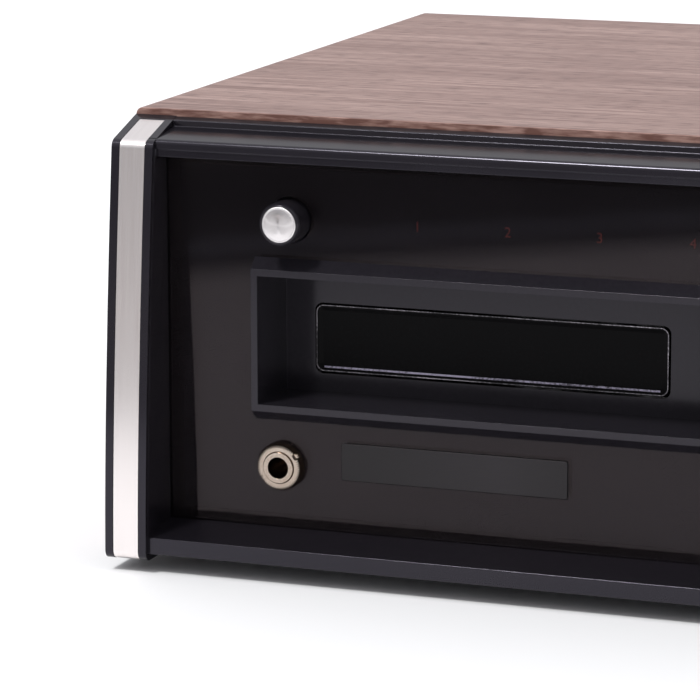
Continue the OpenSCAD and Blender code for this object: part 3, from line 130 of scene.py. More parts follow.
# %% [markdown]
# Most parts here are moulded, plated, painted or rolled, and such a surface is one colour with
# a fine texture on it. The texture is noise, stretched where the making leaves lines, such as
# rolling or drawing. Its grain is given in millimetres. It moves the colour a little, moves
# the roughness, and lifts a shallow bump.

# %% One textured finish
NOISE_LOW, NOISE_HIGH = 0.7, 1.3  # where two noises added together mostly lie
PATCH = 45  # mm, the soft patches in any large surface
BUMP_SHARE = 0.6


def textured_finish(name, code, dark, metallic, roughness, spread, grain, stretch, bump, **more):
    """A finish whose noise has this grain in mm and is stretched this many times along x, y, z."""
    made, tree, shader = new_finish(name, Metallic=metallic, **more)
    place = add(tree, "ShaderNodeTexCoord")
    sized = add(tree, "ShaderNodeMapping", {
        "Vector": place.outputs["Object"],
        "Scale": [1 / (grain * MM * times) for times in stretch],
    })
    fine = add(tree, "ShaderNodeTexNoise", {
        "Vector": sized.outputs[0], "Scale": 1.0, "Detail": 3.0})
    broad = add(tree, "ShaderNodeTexNoise", {
        "Vector": place.outputs["Object"], "Scale": 1 / (PATCH * MM), "Detail": 2.0})
    both = add(tree, "ShaderNodeMath", {0: fine.outputs[0], 1: broad.outputs[0]}, operation="ADD")
    shade = add(tree, "ShaderNodeMapRange", {
        "Value": both.outputs[0], "From Min": NOISE_LOW, "From Max": NOISE_HIGH})
    colour = add(tree, "ShaderNodeMix", {
        MIX_FACTOR: shade.outputs[0], MIX_A: linear(dark), MIX_B: linear(code)}, data_type="RGBA")
    rough = add(tree, "ShaderNodeMapRange", {
        "Value": both.outputs[0], "From Min": NOISE_LOW, "From Max": NOISE_HIGH,
        "To Min": roughness - spread, "To Max": roughness + spread})
    tree.links.new(colour.outputs[MIX_RESULT], shader.inputs["Base Color"])
    tree.links.new(rough.outputs[0], shader.inputs["Roughness"])
    if bump:
        lift = add(tree, "ShaderNodeBump", {
            "Height": fine.outputs[0], "Distance": bump * MM, "Strength": BUMP_SHARE})
        tree.links.new(lift.outputs[0], shader.inputs["Normal"])
    return made


EVEN = (1, 1, 1)
print("patches of", PATCH, "mm under every grain")

# %% [markdown]
# One row for each plain material. The columns are its name, its lighter and darker colour, how
# metallic it is, its roughness and how far that wanders, the grain in millimetres, the stretch of
# the grain along x, y and z, and the height of its bump in millimetres.

# %% Plain finishes from a table
finishes = {
    # Zinc-plated sheet: dull grey metal with soft cloudy patches and faint rolling lines.
    "galvanised_steel": textured_finish(
        "zinc_plated_steel", "B4B6B4", "96999A", 0.9, 0.42, 0.08, 0.5, (14, 1, 1), 0.01),
    # Black stoving enamel on sheet steel: a fine orange-peel skin with a half-matt sheen.
    "painted_steel": textured_finish(
        "stoved_enamel_steel", "2E2D2E", "262526", 0.0, 0.46, 0.05, 0.7, EVEN, 0.012),
    # ABS, injection moulded: near black, with the gloss of a polished tool and a cool sheen.
    "black_abs": textured_finish(
        "moulded_black_abs", "1C1A1E", "17151A", 0.0, 0.16, 0.03, 0.35, EVEN, 0.003,
        Specular_IOR_Level=0.42, Specular_Tint=linear("F3EEFF")),
    # Styrene knobs: polished tool, so a clear gloss over a warm black.
    "gloss_black": textured_finish(
        "polished_black_styrene", "252328", "1F1D22", 0.0, 0.16, 0.03, 1.2, EVEN, 0.0,
        Specular_IOR_Level=0.34, Specular_Tint=linear("FBF6FF")),
    # The door is moulded in a dull tool and wiped with black lacquer, so it mirrors very little.
    "dull_black_door": textured_finish(
        "lacquered_door", "0A090B", "070608", 0.0, 0.26, 0.03, 1.4, EVEN, 0.0,
        Specular_IOR_Level=0.06),
    # Steel drawn bright: pins, posts and shafts with lines along their length.
    "bright_steel": textured_finish(
        "bright_drawn_steel", "C9C8C6", "ABABAA", 1.0, 0.26, 0.06, 0.25, EVEN, 0.0),
    # Dull nickel on brass: the warm beige of an old socket.
    "nickel": textured_finish(
        "aged_nickel_plate", "D4C8BC", "9E8F82", 1.0, 0.15, 0.06, 0.4, EVEN, 0.002),
    # Moulded rubber: matt, a little dusty.
    "black_rubber": textured_finish(
        "moulded_rubber", "232222", "1B1A1A", 0.0, 0.72, 0.06, 0.5, EVEN, 0.01),
    # Music wire: blue-grey and smooth.
    "spring_steel": textured_finish(
        "spring_wire", "9A9C9F", "80838A", 1.0, 0.3, 0.05, 0.3, EVEN, 0.0),
    # Paper-base phenolic board: tobacco brown with a faint weave.
    "phenolic": textured_finish(
        "paper_phenolic", "7A5230", "63401F", 0.0, 0.45, 0.06, 0.4, (3, 1, 3), 0.006),
    # Lamp-lit dial glass, sprayed from behind: very dark blue-green.
    "dial_print": textured_finish(
        "sprayed_dial_plate", "1C2524", "161E1D", 0.0, 0.35, 0.04, 0.8, EVEN, 0.0),
    # Dyed styrene needle.
    "red_plastic": textured_finish(
        "dyed_red_styrene", "C8321F", "AA2717", 0.0, 0.32, 0.05, 0.8, EVEN, 0.0),
    # Braided nylon cord: pale straw, matt, with the braid's short ridges.
    "cord_textile": textured_finish(
        "braided_cord", "CFC49C", "A99D76", 0.0, 0.8, 0.05, 0.25, EVEN, 0.03),
    # Acetal: milky white, waxy, low gloss.
    "white_acetal": textured_finish(
        "moulded_acetal", "E4E0D6", "D6D1C4", 0.0, 0.38, 0.04, 0.6, EVEN, 0.003),
    # Turned brass with age.
    "brass": textured_finish(
        "turned_brass", "C9A45C", "A98342", 1.0, 0.28, 0.07, 0.3, EVEN, 0.002),
    # Green solder mask over glass board.
    "board_green": textured_finish(
        "solder_mask_board", "3F6B45", "2F5537", 0.0, 0.35, 0.06, 1.5, EVEN, 0.004),
    # Varnished transformer steel: grey-brown with the laminations' edges as fine lines.
    "core_steel": textured_finish(
        "varnished_laminations", "6B655B", "4B463E", 0.6, 0.5, 0.08, 0.35, (40, 1, 40), 0.03),
    # Anodised extrusion: black with lines along the fins.
    "black_aluminium": textured_finish(
        "black_anodised_aluminium", "232428", "191A1D", 0.7, 0.42, 0.06, 0.3, (1, 1, 30), 0.006),
    # Sintered ferrite: dark grey ceramic, dull.
    "ferrite": textured_finish(
        "sintered_ferrite", "3A3533", "2C2826", 0.0, 0.6, 0.07, 0.5, EVEN, 0.01),
    # Lapped head face in a drawn can.
    "head_metal": textured_finish(
        "lapped_head_metal", "C4C0B8", "A5A198", 1.0, 0.22, 0.05, 0.2, (1, 1, 20), 0.001),
}
print("plain finishes", len(finishes))

# %% [markdown]
# The cabinet is chipboard wrapped in printed walnut vinyl. The sheet is folded over the boards
# from side to side, so its grain runs along the top and then down each side. Long thin noise
# makes the grain lines, a second one makes the short dark pores, and a broad one the bands.
# Where the sheet turns over the front edge it is stretched, redder and wrinkled.

# %% Walnut vinyl
walnut, tree, shader = new_finish("printed_walnut_vinyl", IOR=1.5, Specular_IOR_Level=0.5)
place = add(tree, "ShaderNodeTexCoord")
facing = add(tree, "ShaderNodeNewGeometry")
parts = add(tree, "ShaderNodeSeparateXYZ", {0: place.outputs["Object"]})
turned = add(tree, "ShaderNodeSeparateXYZ", {0: facing.outputs["Normal"]})
sideways = add(tree, "ShaderNodeMath", {0: turned.outputs[0]}, operation="ABSOLUTE")
is_side = add(tree, "ShaderNodeMath", {0: sideways.outputs[0], 1: 0.7}, operation="GREATER_THAN")
left_right, front_back, down_up = parts.outputs
along = add(tree, "ShaderNodeMix", {0: is_side.outputs[0], 2: left_right, 3: down_up})
depth = add(tree, "ShaderNodeMath", {0: front_back, 1: down_up}, operation="ADD")
across = add(tree, "ShaderNodeMix", {0: is_side.outputs[0], 2: depth.outputs[0], 3: front_back})
sheet = add(tree, "ShaderNodeCombineXYZ", {0: along.outputs[0], 1: across.outputs[0]})
print("vinyl sheet laid out over the top and the sides")

# %% [markdown]
# Three colours make the print: a ground that drifts from band to band, brown lines in it, and
# dark pores on top. Each noise takes the length and the width of its marks in millimetres.

# %% Walnut grain
def vinyl_noise(length, width, detail, twist):
    """Noise in the sheet's plane, with marks of this length and width in mm."""
    sized = add(tree, "ShaderNodeMapping", {
        "Vector": sheet.outputs[0], "Scale": [1 / (length * MM), 1 / (width * MM), 1]})
    return add(tree, "ShaderNodeTexNoise", {
        "Vector": sized.outputs[0], "Scale": 1.0, "Detail": detail,
        "Distortion": twist}).outputs[0]


lines = vinyl_noise(60, 0.7, 5.0, 0.3)
bands = vinyl_noise(260, 16, 2.0, 0.5)
pores = vinyl_noise(9, 0.5, 1.0, 0.0)
line_tone = add(tree, "ShaderNodeMapRange", {"Value": lines, "From Min": 0.36, "From Max": 0.62})
band_tone = add(tree, "ShaderNodeMapRange", {"Value": bands, "From Min": 0.38, "From Max": 0.62})
pore_tone = add(tree, "ShaderNodeMapRange", {"Value": pores, "From Min": 0.33, "From Max": 0.42})
ground = add(tree, "ShaderNodeMix", {
    MIX_FACTOR: band_tone.outputs[0], MIX_A: linear("A1857D"), MIX_B: linear("BA9D94")},
    data_type="RGBA")
grained = add(tree, "ShaderNodeMix", {
    MIX_FACTOR: line_tone.outputs[0], MIX_A: linear("7A5A52"),
    MIX_B: ground.outputs[MIX_RESULT]}, data_type="RGBA")
pored = add(tree, "ShaderNodeMix", {
    MIX_FACTOR: pore_tone.outputs[0], MIX_A: linear("5A403B"),
    MIX_B: grained.outputs[MIX_RESULT]}, data_type="RGBA")
print("walnut grain made")

# %% [markdown]
# The folded front edge is its own colour, mixed in by the distance from the boards' front. The
# rest of the sheet has a low sheen, and the lines are lightly embossed.

# %% Folded edge and sheen
wood_front = span("cabinet")[0][1]
FOLD_START, FOLD_END = 0.4, 1.4  # mm behind the front, where the fold turns into flat sheet
WRINKLE_LONG, WRINKLE_WIDE = 7, 1.2  # mm
drawn = add(tree, "ShaderNodeMapping", {
    "Vector": place.outputs["Object"],
    "Scale": [1 / (mark * MM) for mark in (WRINKLE_LONG, WRINKLE_WIDE, WRINKLE_WIDE)]})
wrinkles = add(tree, "ShaderNodeTexNoise", {
    "Vector": drawn.outputs[0], "Scale": 1.0, "Detail": 4.0})
wrinkle_tone = add(tree, "ShaderNodeMapRange", {
    "Value": wrinkles.outputs[0], "From Min": 0.4, "From Max": 0.66})
torn = add(tree, "ShaderNodeMix", {
    MIX_FACTOR: wrinkle_tone.outputs[0], MIX_A: linear("6F4A40"), MIX_B: linear("A9857A")},
    data_type="RGBA")
edge_near = add(tree, "ShaderNodeMapRange", {
    "Value": front_back, "From Min": (wood_front + FOLD_START) * MM,
    "From Max": (wood_front + FOLD_END) * MM})
wrapped = add(tree, "ShaderNodeMix", {
    MIX_FACTOR: edge_near.outputs[0], MIX_A: torn.outputs[MIX_RESULT],
    MIX_B: pored.outputs[MIX_RESULT]}, data_type="RGBA")
tree.links.new(wrapped.outputs[MIX_RESULT], shader.inputs["Base Color"])
vinyl_rough = add(tree, "ShaderNodeMapRange", {"Value": lines, "To Min": 0.34, "To Max": 0.5})
tree.links.new(vinyl_rough.outputs[0], shader.inputs["Roughness"])
EMBOSS = 0.03  # mm
emboss = add(tree, "ShaderNodeBump", {"Height": lines, "Distance": EMBOSS * MM, "Strength": 0.5})
tree.links.new(emboss.outputs[0], shader.inputs["Normal"])
finishes["walnut_vinyl"] = walnut
print("walnut vinyl made")

# %% [markdown]
# The bright strips on the end caps are aluminium, brushed lengthwise before they were bent, so
# the lines run up the front and back over the top. Brushing spreads a highlight across the
# lines: stretched noise does this as roughness and a very shallow bump. The lines are drawn
# at 0.15 mm, a little coarser than real ones, so that they show.

# %% Brushed aluminium
HAIR, STROKE, HAIR_DEEP = 0.15, 25, 0.01  # mm: width, length and depth of a brushing line
brushed, tree, shader = new_finish("brushed_aluminium", Metallic=1.0)
place = add(tree, "ShaderNodeTexCoord")
sized = add(tree, "ShaderNodeMapping", {
    "Vector": place.outputs["Object"],
    "Scale": [1 / (HAIR * MM), 1 / (STROKE * MM), 1 / (STROKE * MM)]})
hairs = add(tree, "ShaderNodeTexNoise", {"Vector": sized.outputs[0], "Scale": 1.0, "Detail": 2.0})
tone = add(tree, "ShaderNodeMapRange", {
    "Value": hairs.outputs[0], "From Min": 0.3, "From Max": 0.7})
colour = add(tree, "ShaderNodeMix", {
    MIX_FACTOR: tone.outputs[0], MIX_A: linear("EFE8E6"), MIX_B: linear("F8F2F0")},
    data_type="RGBA")
tree.links.new(colour.outputs[MIX_RESULT], shader.inputs["Base Color"])
rough = add(tree, "ShaderNodeMapRange", {"Value": hairs.outputs[0], "To Min": 0.2, "To Max": 0.28})
tree.links.new(rough.outputs[0], shader.inputs["Roughness"])
lift = add(tree, "ShaderNodeBump", {
    "Height": hairs.outputs[0], "Distance": HAIR_DEEP * MM, "Strength": 0.15})
tree.links.new(lift.outputs[0], shader.inputs["Normal"])
finishes["brushed_aluminium"] = brushed
print("brushed aluminium made")

# %% [markdown]
# The knobs' faces are aluminium discs spun and cut in a lathe. The rings that the tool leaves
# are finer than a pixel, and what the eye sees of them is two bright fans. Anisotropy with a
# tangent that runs round the disc's axis makes those fans.

# %% Spun aluminium
spun, tree, shader = new_finish("spun_aluminium", Metallic=1.0, Roughness=0.25, Anisotropic=0.97)
shader.inputs["Base Color"].default_value = linear("E6E2E2")
round_axis = add(tree, "ShaderNodeTangent", direction_type="RADIAL", axis="Y")
tree.links.new(round_axis.outputs[0], shader.inputs["Tangent"])
print("spun aluminium made")

# %% [markdown]
# The front panel is smoked acrylic, 2.5 mm thick, cast with a polished face. It passes little
# light, so it shows as a warm near-black mirror with only a hint of what is behind it. An alpha
# below one over a dark colour does this without the noise of real refraction. Wiping marks vary
# its roughness, and a few specks of dust lie on it.

# %% Smoked acrylic
acrylic, tree, shader = new_finish(
    "smoked_acrylic", IOR=1.49, Alpha=0.62, Specular_IOR_Level=0.44,
    Specular_Tint=linear("FFEDEF"))
WIPE_LONG, WIPE_WIDE, WIPE_TILT = 60, 2.5, 18  # mm, mm and degrees
SPECK_APART = 5.5  # mm
place = add(tree, "ShaderNodeTexCoord")
wipes = add(tree, "ShaderNodeMapping", {
    "Vector": place.outputs["Object"], "Rotation": [0, math.radians(WIPE_TILT), 0],
    "Scale": [1 / (WIPE_LONG * MM), 1, 1 / (WIPE_WIDE * MM)]})
smears = add(tree, "ShaderNodeTexNoise", {
    "Vector": wipes.outputs[0], "Scale": 1.0, "Detail": 3.0})
rough = add(tree, "ShaderNodeMapRange", {
    "Value": smears.outputs[0], "From Min": 0.4, "From Max": 0.7, "To Min": 0.02, "To Max": 0.06})
grit = add(tree, "ShaderNodeTexVoronoi", {
    "Vector": place.outputs["Object"], "Scale": 1 / (SPECK_APART * MM), "Randomness": 1.0})
specks = add(tree, "ShaderNodeMapRange", {
    "Value": grit.outputs["Distance"], "From Min": 0.018, "From Max": 0.032,
    "To Min": 0.55, "To Max": 0.0})
dusty = add(tree, "ShaderNodeMix", {
    MIX_FACTOR: specks.outputs[0], MIX_A: linear("100D0F"), MIX_B: linear("8C8688")},
    data_type="RGBA")
tree.links.new(dusty.outputs[MIX_RESULT], shader.inputs["Base Color"])
tree.links.new(rough.outputs[0], shader.inputs["Roughness"])
finishes["smoked_acrylic"] = acrylic
print("smoked acrylic made")

# %% [markdown]
# The bare plate in the panel's seat is a thin anodised strip. A painted reflection of the table
# makes it dark at its ends and lighter right of its middle. Fine brushing runs along it.

# %% Dark plate
dark_plate, tree, shader = new_finish("dark_anodised_strip", Metallic=0.35, Roughness=0.36)
place = add(tree, "ShaderNodeTexCoord")
parts = add(tree, "ShaderNodeSeparateXYZ", {0: place.outputs["Object"]})
plate_low, plate_high = span("nameplate")
along_plate = add(tree, "ShaderNodeMapRange", {
    "Value": parts.outputs[0], "From Min": plate_low[0] * MM, "From Max": plate_high[0] * MM})
# Painted reflection: this ramp darkens the plate's ends and lightens it right of its middle.
plate_painted_reflection = add(tree, "ShaderNodeValToRGB", {0: along_plate.outputs[0]})
for at, code in ((0.15, "171416"), (0.7, "2B272B")):
    plate_painted_reflection.color_ramp.elements.new(at).color = linear(code)
plate_painted_reflection.color_ramp.elements[0].color = linear("151214")
plate_painted_reflection.color_ramp.elements[-1].color = linear("1C181B")
PLATE_STROKE, PLATE_HAIR = 12, 0.2  # mm, length and width of a brushing line
brushing = add(tree, "ShaderNodeMapping", {
    "Vector": place.outputs["Object"],
    "Scale": [1 / (PLATE_STROKE * MM), 1, 1 / (PLATE_HAIR * MM)]})
hairs = add(tree, "ShaderNodeTexNoise", {
    "Vector": brushing.outputs[0], "Scale": 1.0, "Detail": 2.0})
lit = add(tree, "ShaderNodeMix", {
    MIX_FACTOR: hairs.outputs[0], MIX_A: plate_painted_reflection.outputs[0], MIX_B: linear("1F1B1E")},
    data_type="RGBA")
tree.links.new(lit.outputs[MIX_RESULT], shader.inputs["Base Color"])
finishes["dark_plate"] = dark_plate
print("dark plate made")

# %% [markdown]
# The solids have sharp edges, and no made thing has. A moulded or folded edge catches a thin
# line of light. So the pieces that show are copies of the CAD solids with every edge steeper
# than 30 degrees rounded. The copy's triangles are merged into flat faces first, or the bevel
# would follow them.

# %% Placing a piece
def placed(made, finish, node, stays=False):
    """Gives a new piece its finish and its node's body, in place of the node unless that stays."""
    made.data.materials.clear()
    made.data.materials.append(finish)
    bpy.context.scene.collection.objects.link(made)
    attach(made, bodies[node])
    if not stays:
        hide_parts(node)


print("bodies to ride on", len(set(bodies.values())))

# %% [markdown]
# A copy starts from the CAD node's own mesh. The bevel rounds only the steep edges, and the
# weighted normals keep the large flat faces flat to the eye, right up to the rounding.

# %% Copies with rounded edges
STEEP, ROUND_STEPS = 30, 3
WELD, FLAT = 0.002, 0.5  # mm and degrees, below which points and faces become one


def clean_copy(node):
    """The CAD node's mesh with its triangles merged into flat faces."""
    bm = bmesh.new()
    bm.from_mesh(nodes[node].data)
    bmesh.ops.remove_doubles(bm, verts=bm.verts, dist=WELD * MM)
    bmesh.ops.dissolve_limit(bm, angle_limit=math.radians(FLAT), verts=bm.verts, edges=bm.edges)
    for face in bm.faces:
        face.smooth = True
    return bm


def to_object(bm, name):
    """An object with the shape that a bmesh holds, which is then given up."""
    mesh = bpy.data.meshes.new(name)
    bm.to_mesh(mesh)
    bm.free()
    return bpy.data.objects.new(name, mesh)


def round_edges(made, radius):
    """Rounds steep edges, and lets the large flat faces set how the small ones shade."""
    bevel = made.modifiers.new("rounded_edges", "BEVEL")
    bevel.width, bevel.segments = radius * MM, ROUND_STEPS
    bevel.limit_method, bevel.angle_limit = "ANGLE", math.radians(STEEP)
    weighted = made.modifiers.new("flat_faces_lead", "WEIGHTED_NORMAL")
    weighted.keep_sharp = True
    return made


ROUNDED = {  # mm
    "cabinet": 0.5, "front_frame": 0.45, "end_cap_left": 0.3, "end_cap_right": 0.3,
    "trim_strips": 0.12, "smoked_panel": 0.3, "nameplate": 0.12, "tape_bezel": 0.3,
    "channel_knob": 0.45, "headphone_jack": 0.75, "power_button": 0.6, "feet": 0.6,
    "rear_panel": 0.2, "cord_bush": 0.5, "phono_jacks": 0.25, "screw_terminals": 0.3,
    "deck_plate": 0.2, "base_chassis": 0.2,
}
for name, radius in ROUNDED.items():
    copy = to_object(clean_copy(name), name + "_rounded")
    placed(round_edges(copy, radius), finishes[slots[name]], name)
print("rounded", len(ROUNDED), "solids")

# %% [markdown]
# Turned pieces, such as a knob's cap, are easiest as a profile spun round an axis.

# %% Spinning a profile
def spun_profile(bm, x, z, profile, steps=96):
    """Adds a solid of revolution about a front-to-back axis, from (radius, y) points in mm."""
    rings = []
    for radius, y in profile:
        if radius == 0:
            rings.append([bm.verts.new((x * MM, y * MM, z * MM))])
            continue
        turns = [2 * math.pi * k / steps for k in range(steps)]
        rings.append([bm.verts.new((
            (x + radius * math.cos(a)) * MM, y * MM, (z + radius * math.sin(a)) * MM))
            for a in turns])
    for first, second in zip(rings, rings[1:]):
        for k in range(steps):
            corners = []
            for ring, at in ((first, k), (first, k + 1), (second, k + 1), (second, k)):
                corner = ring[at % len(ring)]
                if corner not in corners:
                    corners.append(corner)
            if len(corners) > 2:
                bm.faces.new(corners)


def closed(bm, sharp=35):
    """Turns all faces outwards and shades them smooth, except across edges this steep."""
    bmesh.ops.recalc_face_normals(bm, faces=bm.faces)
    for face in bm.faces:
        face.smooth = True
    for edge in bm.edges:
        if len(edge.link_faces) == 2 and edge.calc_face_angle() > math.radians(sharp):
            edge.smooth = False
    return bm


def centre(node):
    """Where a node's axis crosses the front, as x and z."""
    low, high = span(node)
    return (low[0] + high[0]) / 2, (low[2] + high[2]) / 2


cap_low, cap_high = span("channel_knob_cap")
cap_r, cap_front = (cap_high[0] - cap_low[0]) / 2, cap_low[1]
bm = bmesh.new()
spun_profile(bm, *centre("channel_knob_cap"), [  # back, side, rolled edge with its groove, face
    (0, cap_high[1]), (cap_r, cap_high[1]), (cap_r, cap_front + 0.45),
    (cap_r - 0.12, cap_front + 0.3), (cap_r - 0.5, cap_front + 0.18),
    (cap_r - 0.65, cap_front + 0.26), (cap_r - 0.8, cap_front + 0.2),
    (cap_r * 0.5, cap_front + 0.06), (0, cap_front + 0.02)])
placed(to_object(closed(bm), "channel_knob_spun_cap"), spun, "channel_knob_cap")
print("cap radius", round(cap_r, 2), "mm")

# %% [markdown]
# The other knobs are out of the photograph. They follow the one that shows: black styrene with
# a spun disc in the face. Turned ones get fine ribs for the fingers, which are modelled as a
# wave in the skirt's radius, and a light line that tells where the knob points.

# %% Rings, bridges and bars
def ribbed_ring(bm, x, z, radius, y, ribs, depth, per_rib=6):
    """One ring of a skirt whose radius waves between two values."""
    ring = []
    for k in range(ribs * per_rib):
        a = 2 * math.pi * k / (ribs * per_rib)
        r = radius - depth * (0.5 - 0.5 * math.cos(ribs * a))
        ring.append(bm.verts.new(((x + r * math.cos(a)) * MM, y * MM, (z + r * math.sin(a)) * MM)))
    return ring


def bridge(bm, first, second):
    """Joins two rings with equally many points by a band of faces."""
    count = len(first)
    for k in range(count):
        bm.faces.new((first[k], first[(k + 1) % count], second[(k + 1) % count], second[k]))


def slab(bm, low, high):
    """A small rectangular bar, as part of a larger mesh, between two corners in mm."""
    size = [(b - a) * MM for a, b in zip(low, high)]
    middle = [(a + b) / 2 * MM for a, b in zip(low, high)]
    placing = Matrix.Translation(middle) @ Matrix.Diagonal((*size, 1))
    bmesh.ops.create_cube(bm, size=1, matrix=placing)


print("ring, bridge and bar helpers ready")

# %% [markdown]
# The skirt is a stack of ribbed rings from the front to the back, and a shaft's rings follow
# where the knob has one. The disc is spun, and sits in a shallow well inside the skirt's rim.

# %% Ribbed knobs
CROWN = 0.3  # mm that the disc's middle stands before the skirt
PANEL_GAP = 0.3  # mm between a skirt and the panel
WALL = 1.25  # mm of skirt outside the disc


def ribbed_knob(node, ribs, shaft_r=0):
    low, high = span(node)
    (x, z), radius = centre(node), (high[0] - low[0]) / 2
    face = low[1] + CROWN
    back = span("smoked_panel")[0][1] - PANEL_GAP if shaft_r else high[1]
    skirt = [  # radius, depth of the ribs, distance behind the front ring
        (radius - 0.9, 0, 0), (radius - 0.45, 0, 0.12), (radius - 0.15, 0, 0.45), (radius, 0, 1.0),
        (radius, 0, 1.9), (radius, 0.5, 2.3), (radius, 0.5, back - face - 0.5),
        (radius - 0.4, 0.3, back - face)]
    bm = bmesh.new()
    rings = [ribbed_ring(bm, x, z, r, face + at, ribs, d) for r, d, at in skirt]
    inner = [ribbed_ring(bm, x, z, r, y, ribs, 0) for r, y in (
        (radius - 1.15, face + 0.1), (radius - 1.2, face + 0.35), (radius - 1.2, face + 0.9))]
    for first, second in zip(inner[::-1] + rings, (inner[::-1] + rings)[1:]):
        bridge(bm, first, second)
    bm.faces.new(inner[-1])
    if shaft_r:
        tail = [ribbed_ring(bm, x, z, shaft_r, y, ribs, 0) for y in (back, high[1])]
        bridge(bm, rings[-1], tail[0])
        bridge(bm, tail[0], tail[1])
        bm.faces.new(tail[1])
    else:
        bm.faces.new(rings[-1])
    placed(to_object(closed(bm), node + "_ribbed"), finishes["gloss_black"], node)
    disc = bmesh.new()
    edge = radius - WALL
    spun_profile(disc, x, z, [
        (0, face + 0.85), (edge, face + 0.85), (edge, face + 0.1), (edge - 0.15, face - 0.08),
        (edge - 0.6, face - 0.2), (edge - 0.8, face - 0.1), (edge - 1.0, face - 0.2),
        (edge * 0.5, face - 0.28), (0, face - CROWN)])
    placed(to_object(closed(disc), node + "_spun_cap"), spun, node, stays=True)
    mark = bmesh.new()
    slab(mark, (x - 0.35, face - 0.02, z + radius - 1.1), (x + 0.35, face + 0.3, z + radius - 0.35))
    placed(to_object(mark, node + "_pointer_line"), finishes["white_acetal"], node, stays=True)


SMALL_KNOBS = ("function_knob", "tone_knob", "balance_knob", "volume_knob")
for name in SMALL_KNOBS:
    ribbed_knob(name, ribs=40, shaft_r=3)
ribbed_knob("tuning_knob", ribs=64)
print("ribbed knobs", len(SMALL_KNOBS) + 1)

# %% [markdown]
# The door is a thin moulded flap. Its rim stands half a millimetre proud, and slopes down to the
# flat middle over a millimetre, which is the pale line that shows below and beside it. Rings of
# one rounded outline, set further in at each step, give that section. The hinge ears behind it
# are cut from the CAD solid.

# %% Tape door
def rounded_outline(x0, z0, width, height, radius, steps=8):
    """Points round an upright rectangle with rounded corners, as x and z in mm."""
    points = []
    left, right, low, high = x0 + radius, x0 + width - radius, z0 + radius, z0 + height - radius
    for cx, cz, start in ((right, low, -90), (right, high, 0), (left, high, 90), (left, low, 180)):
        for k in range(steps + 1):
            a = math.radians(start + 90 * k / steps)
            points.append((cx + radius * math.cos(a), cz + radius * math.sin(a)))
    return points


LEAST_RADIUS = 0.3  # mm


def inset_stack(bm, x0, z0, width, height, radius, steps):
    """Rings of a rounded outline at (inset, y) steps, closed at both ends."""
    rings = []
    for inset, y in steps:
        outline = rounded_outline(
            x0 + inset, z0 + inset, width - 2 * inset, height - 2 * inset,
            max(radius - inset, LEAST_RADIUS))
        rings.append([bm.verts.new((x * MM, y * MM, z * MM)) for x, z in outline])
    for first, second in zip(rings, rings[1:]):
        bridge(bm, first, second)
    bm.faces.new(rings[0])
    bm.faces.new(rings[-1])


door_low, door_high = span("tape_door")
DOOR_THICK, DOOR_HEIGHT, DOOR_RADIUS, RIM_HEIGHT = 2.5, 20.9, 2.5, 0.5  # mm
door_back = door_low[1] + RIM_HEIGHT + DOOR_THICK
flap = bmesh.new()
inset_stack(flap, door_low[0], door_low[2], door_high[0] - door_low[0], DOOR_HEIGHT, DOOR_RADIUS, [
    (0.3, door_back), (0, door_back - 0.3), (0, door_low[1] + 0.35), (0.1, door_low[1] + 0.12),
    (0.35, door_low[1]), (0.75, door_low[1]), (0.95, door_low[1] + 0.05),
    (1.9, door_low[1] + RIM_HEIGHT - 0.03), (2.1, door_low[1] + RIM_HEIGHT)])
door_flap = to_object(closed(flap, sharp=50), "tape_door_flap")
placed(door_flap, finishes["dull_black_door"], "tape_door")
print("door flap", len(door_flap.data.vertices), "vertices, back at", round(door_back, 2))

# %% [markdown]
# The ears are what is left of the CAD door once all in front of a plane just behind the flap is
# cut off and the cut is closed.

# %% Door ears
EAR_GAP, EAR_EDGE = 0.01, 0.15  # mm
ears = clean_copy("tape_door")
bmesh.ops.bisect_plane(
    ears, geom=ears.verts[:] + ears.edges[:] + ears.faces[:],
    plane_co=(0, (door_back + EAR_GAP) * MM, 0), plane_no=(0, -1, 0), clear_outer=True)
bmesh.ops.holes_fill(ears, edges=[e for e in ears.edges if e.is_boundary])
ear_piece = round_edges(to_object(closed(ears), "tape_door_ears"), EAR_EDGE)
placed(ear_piece, finishes["black_abs"], "tape_door")
print("door ears", len(ear_piece.data.vertices), "vertices")

# %% [markdown]
# A bright line runs round the door's rim, and a wider one along the foot of its flat middle.
# Both are painted highlights: pale, partly metallic bands laid on the raised edges. They are
# broken in places, so noise at two sizes mixes the painted highlight with the black below.

# %% Painted highlights
BREAK_FINE, BREAK_BROAD = 0.7, 17  # mm, sizes of the breaks in the painted highlights
HIGHLIGHT_METAL = 0.6  # the painted highlight is only partly metallic, less than bare metal


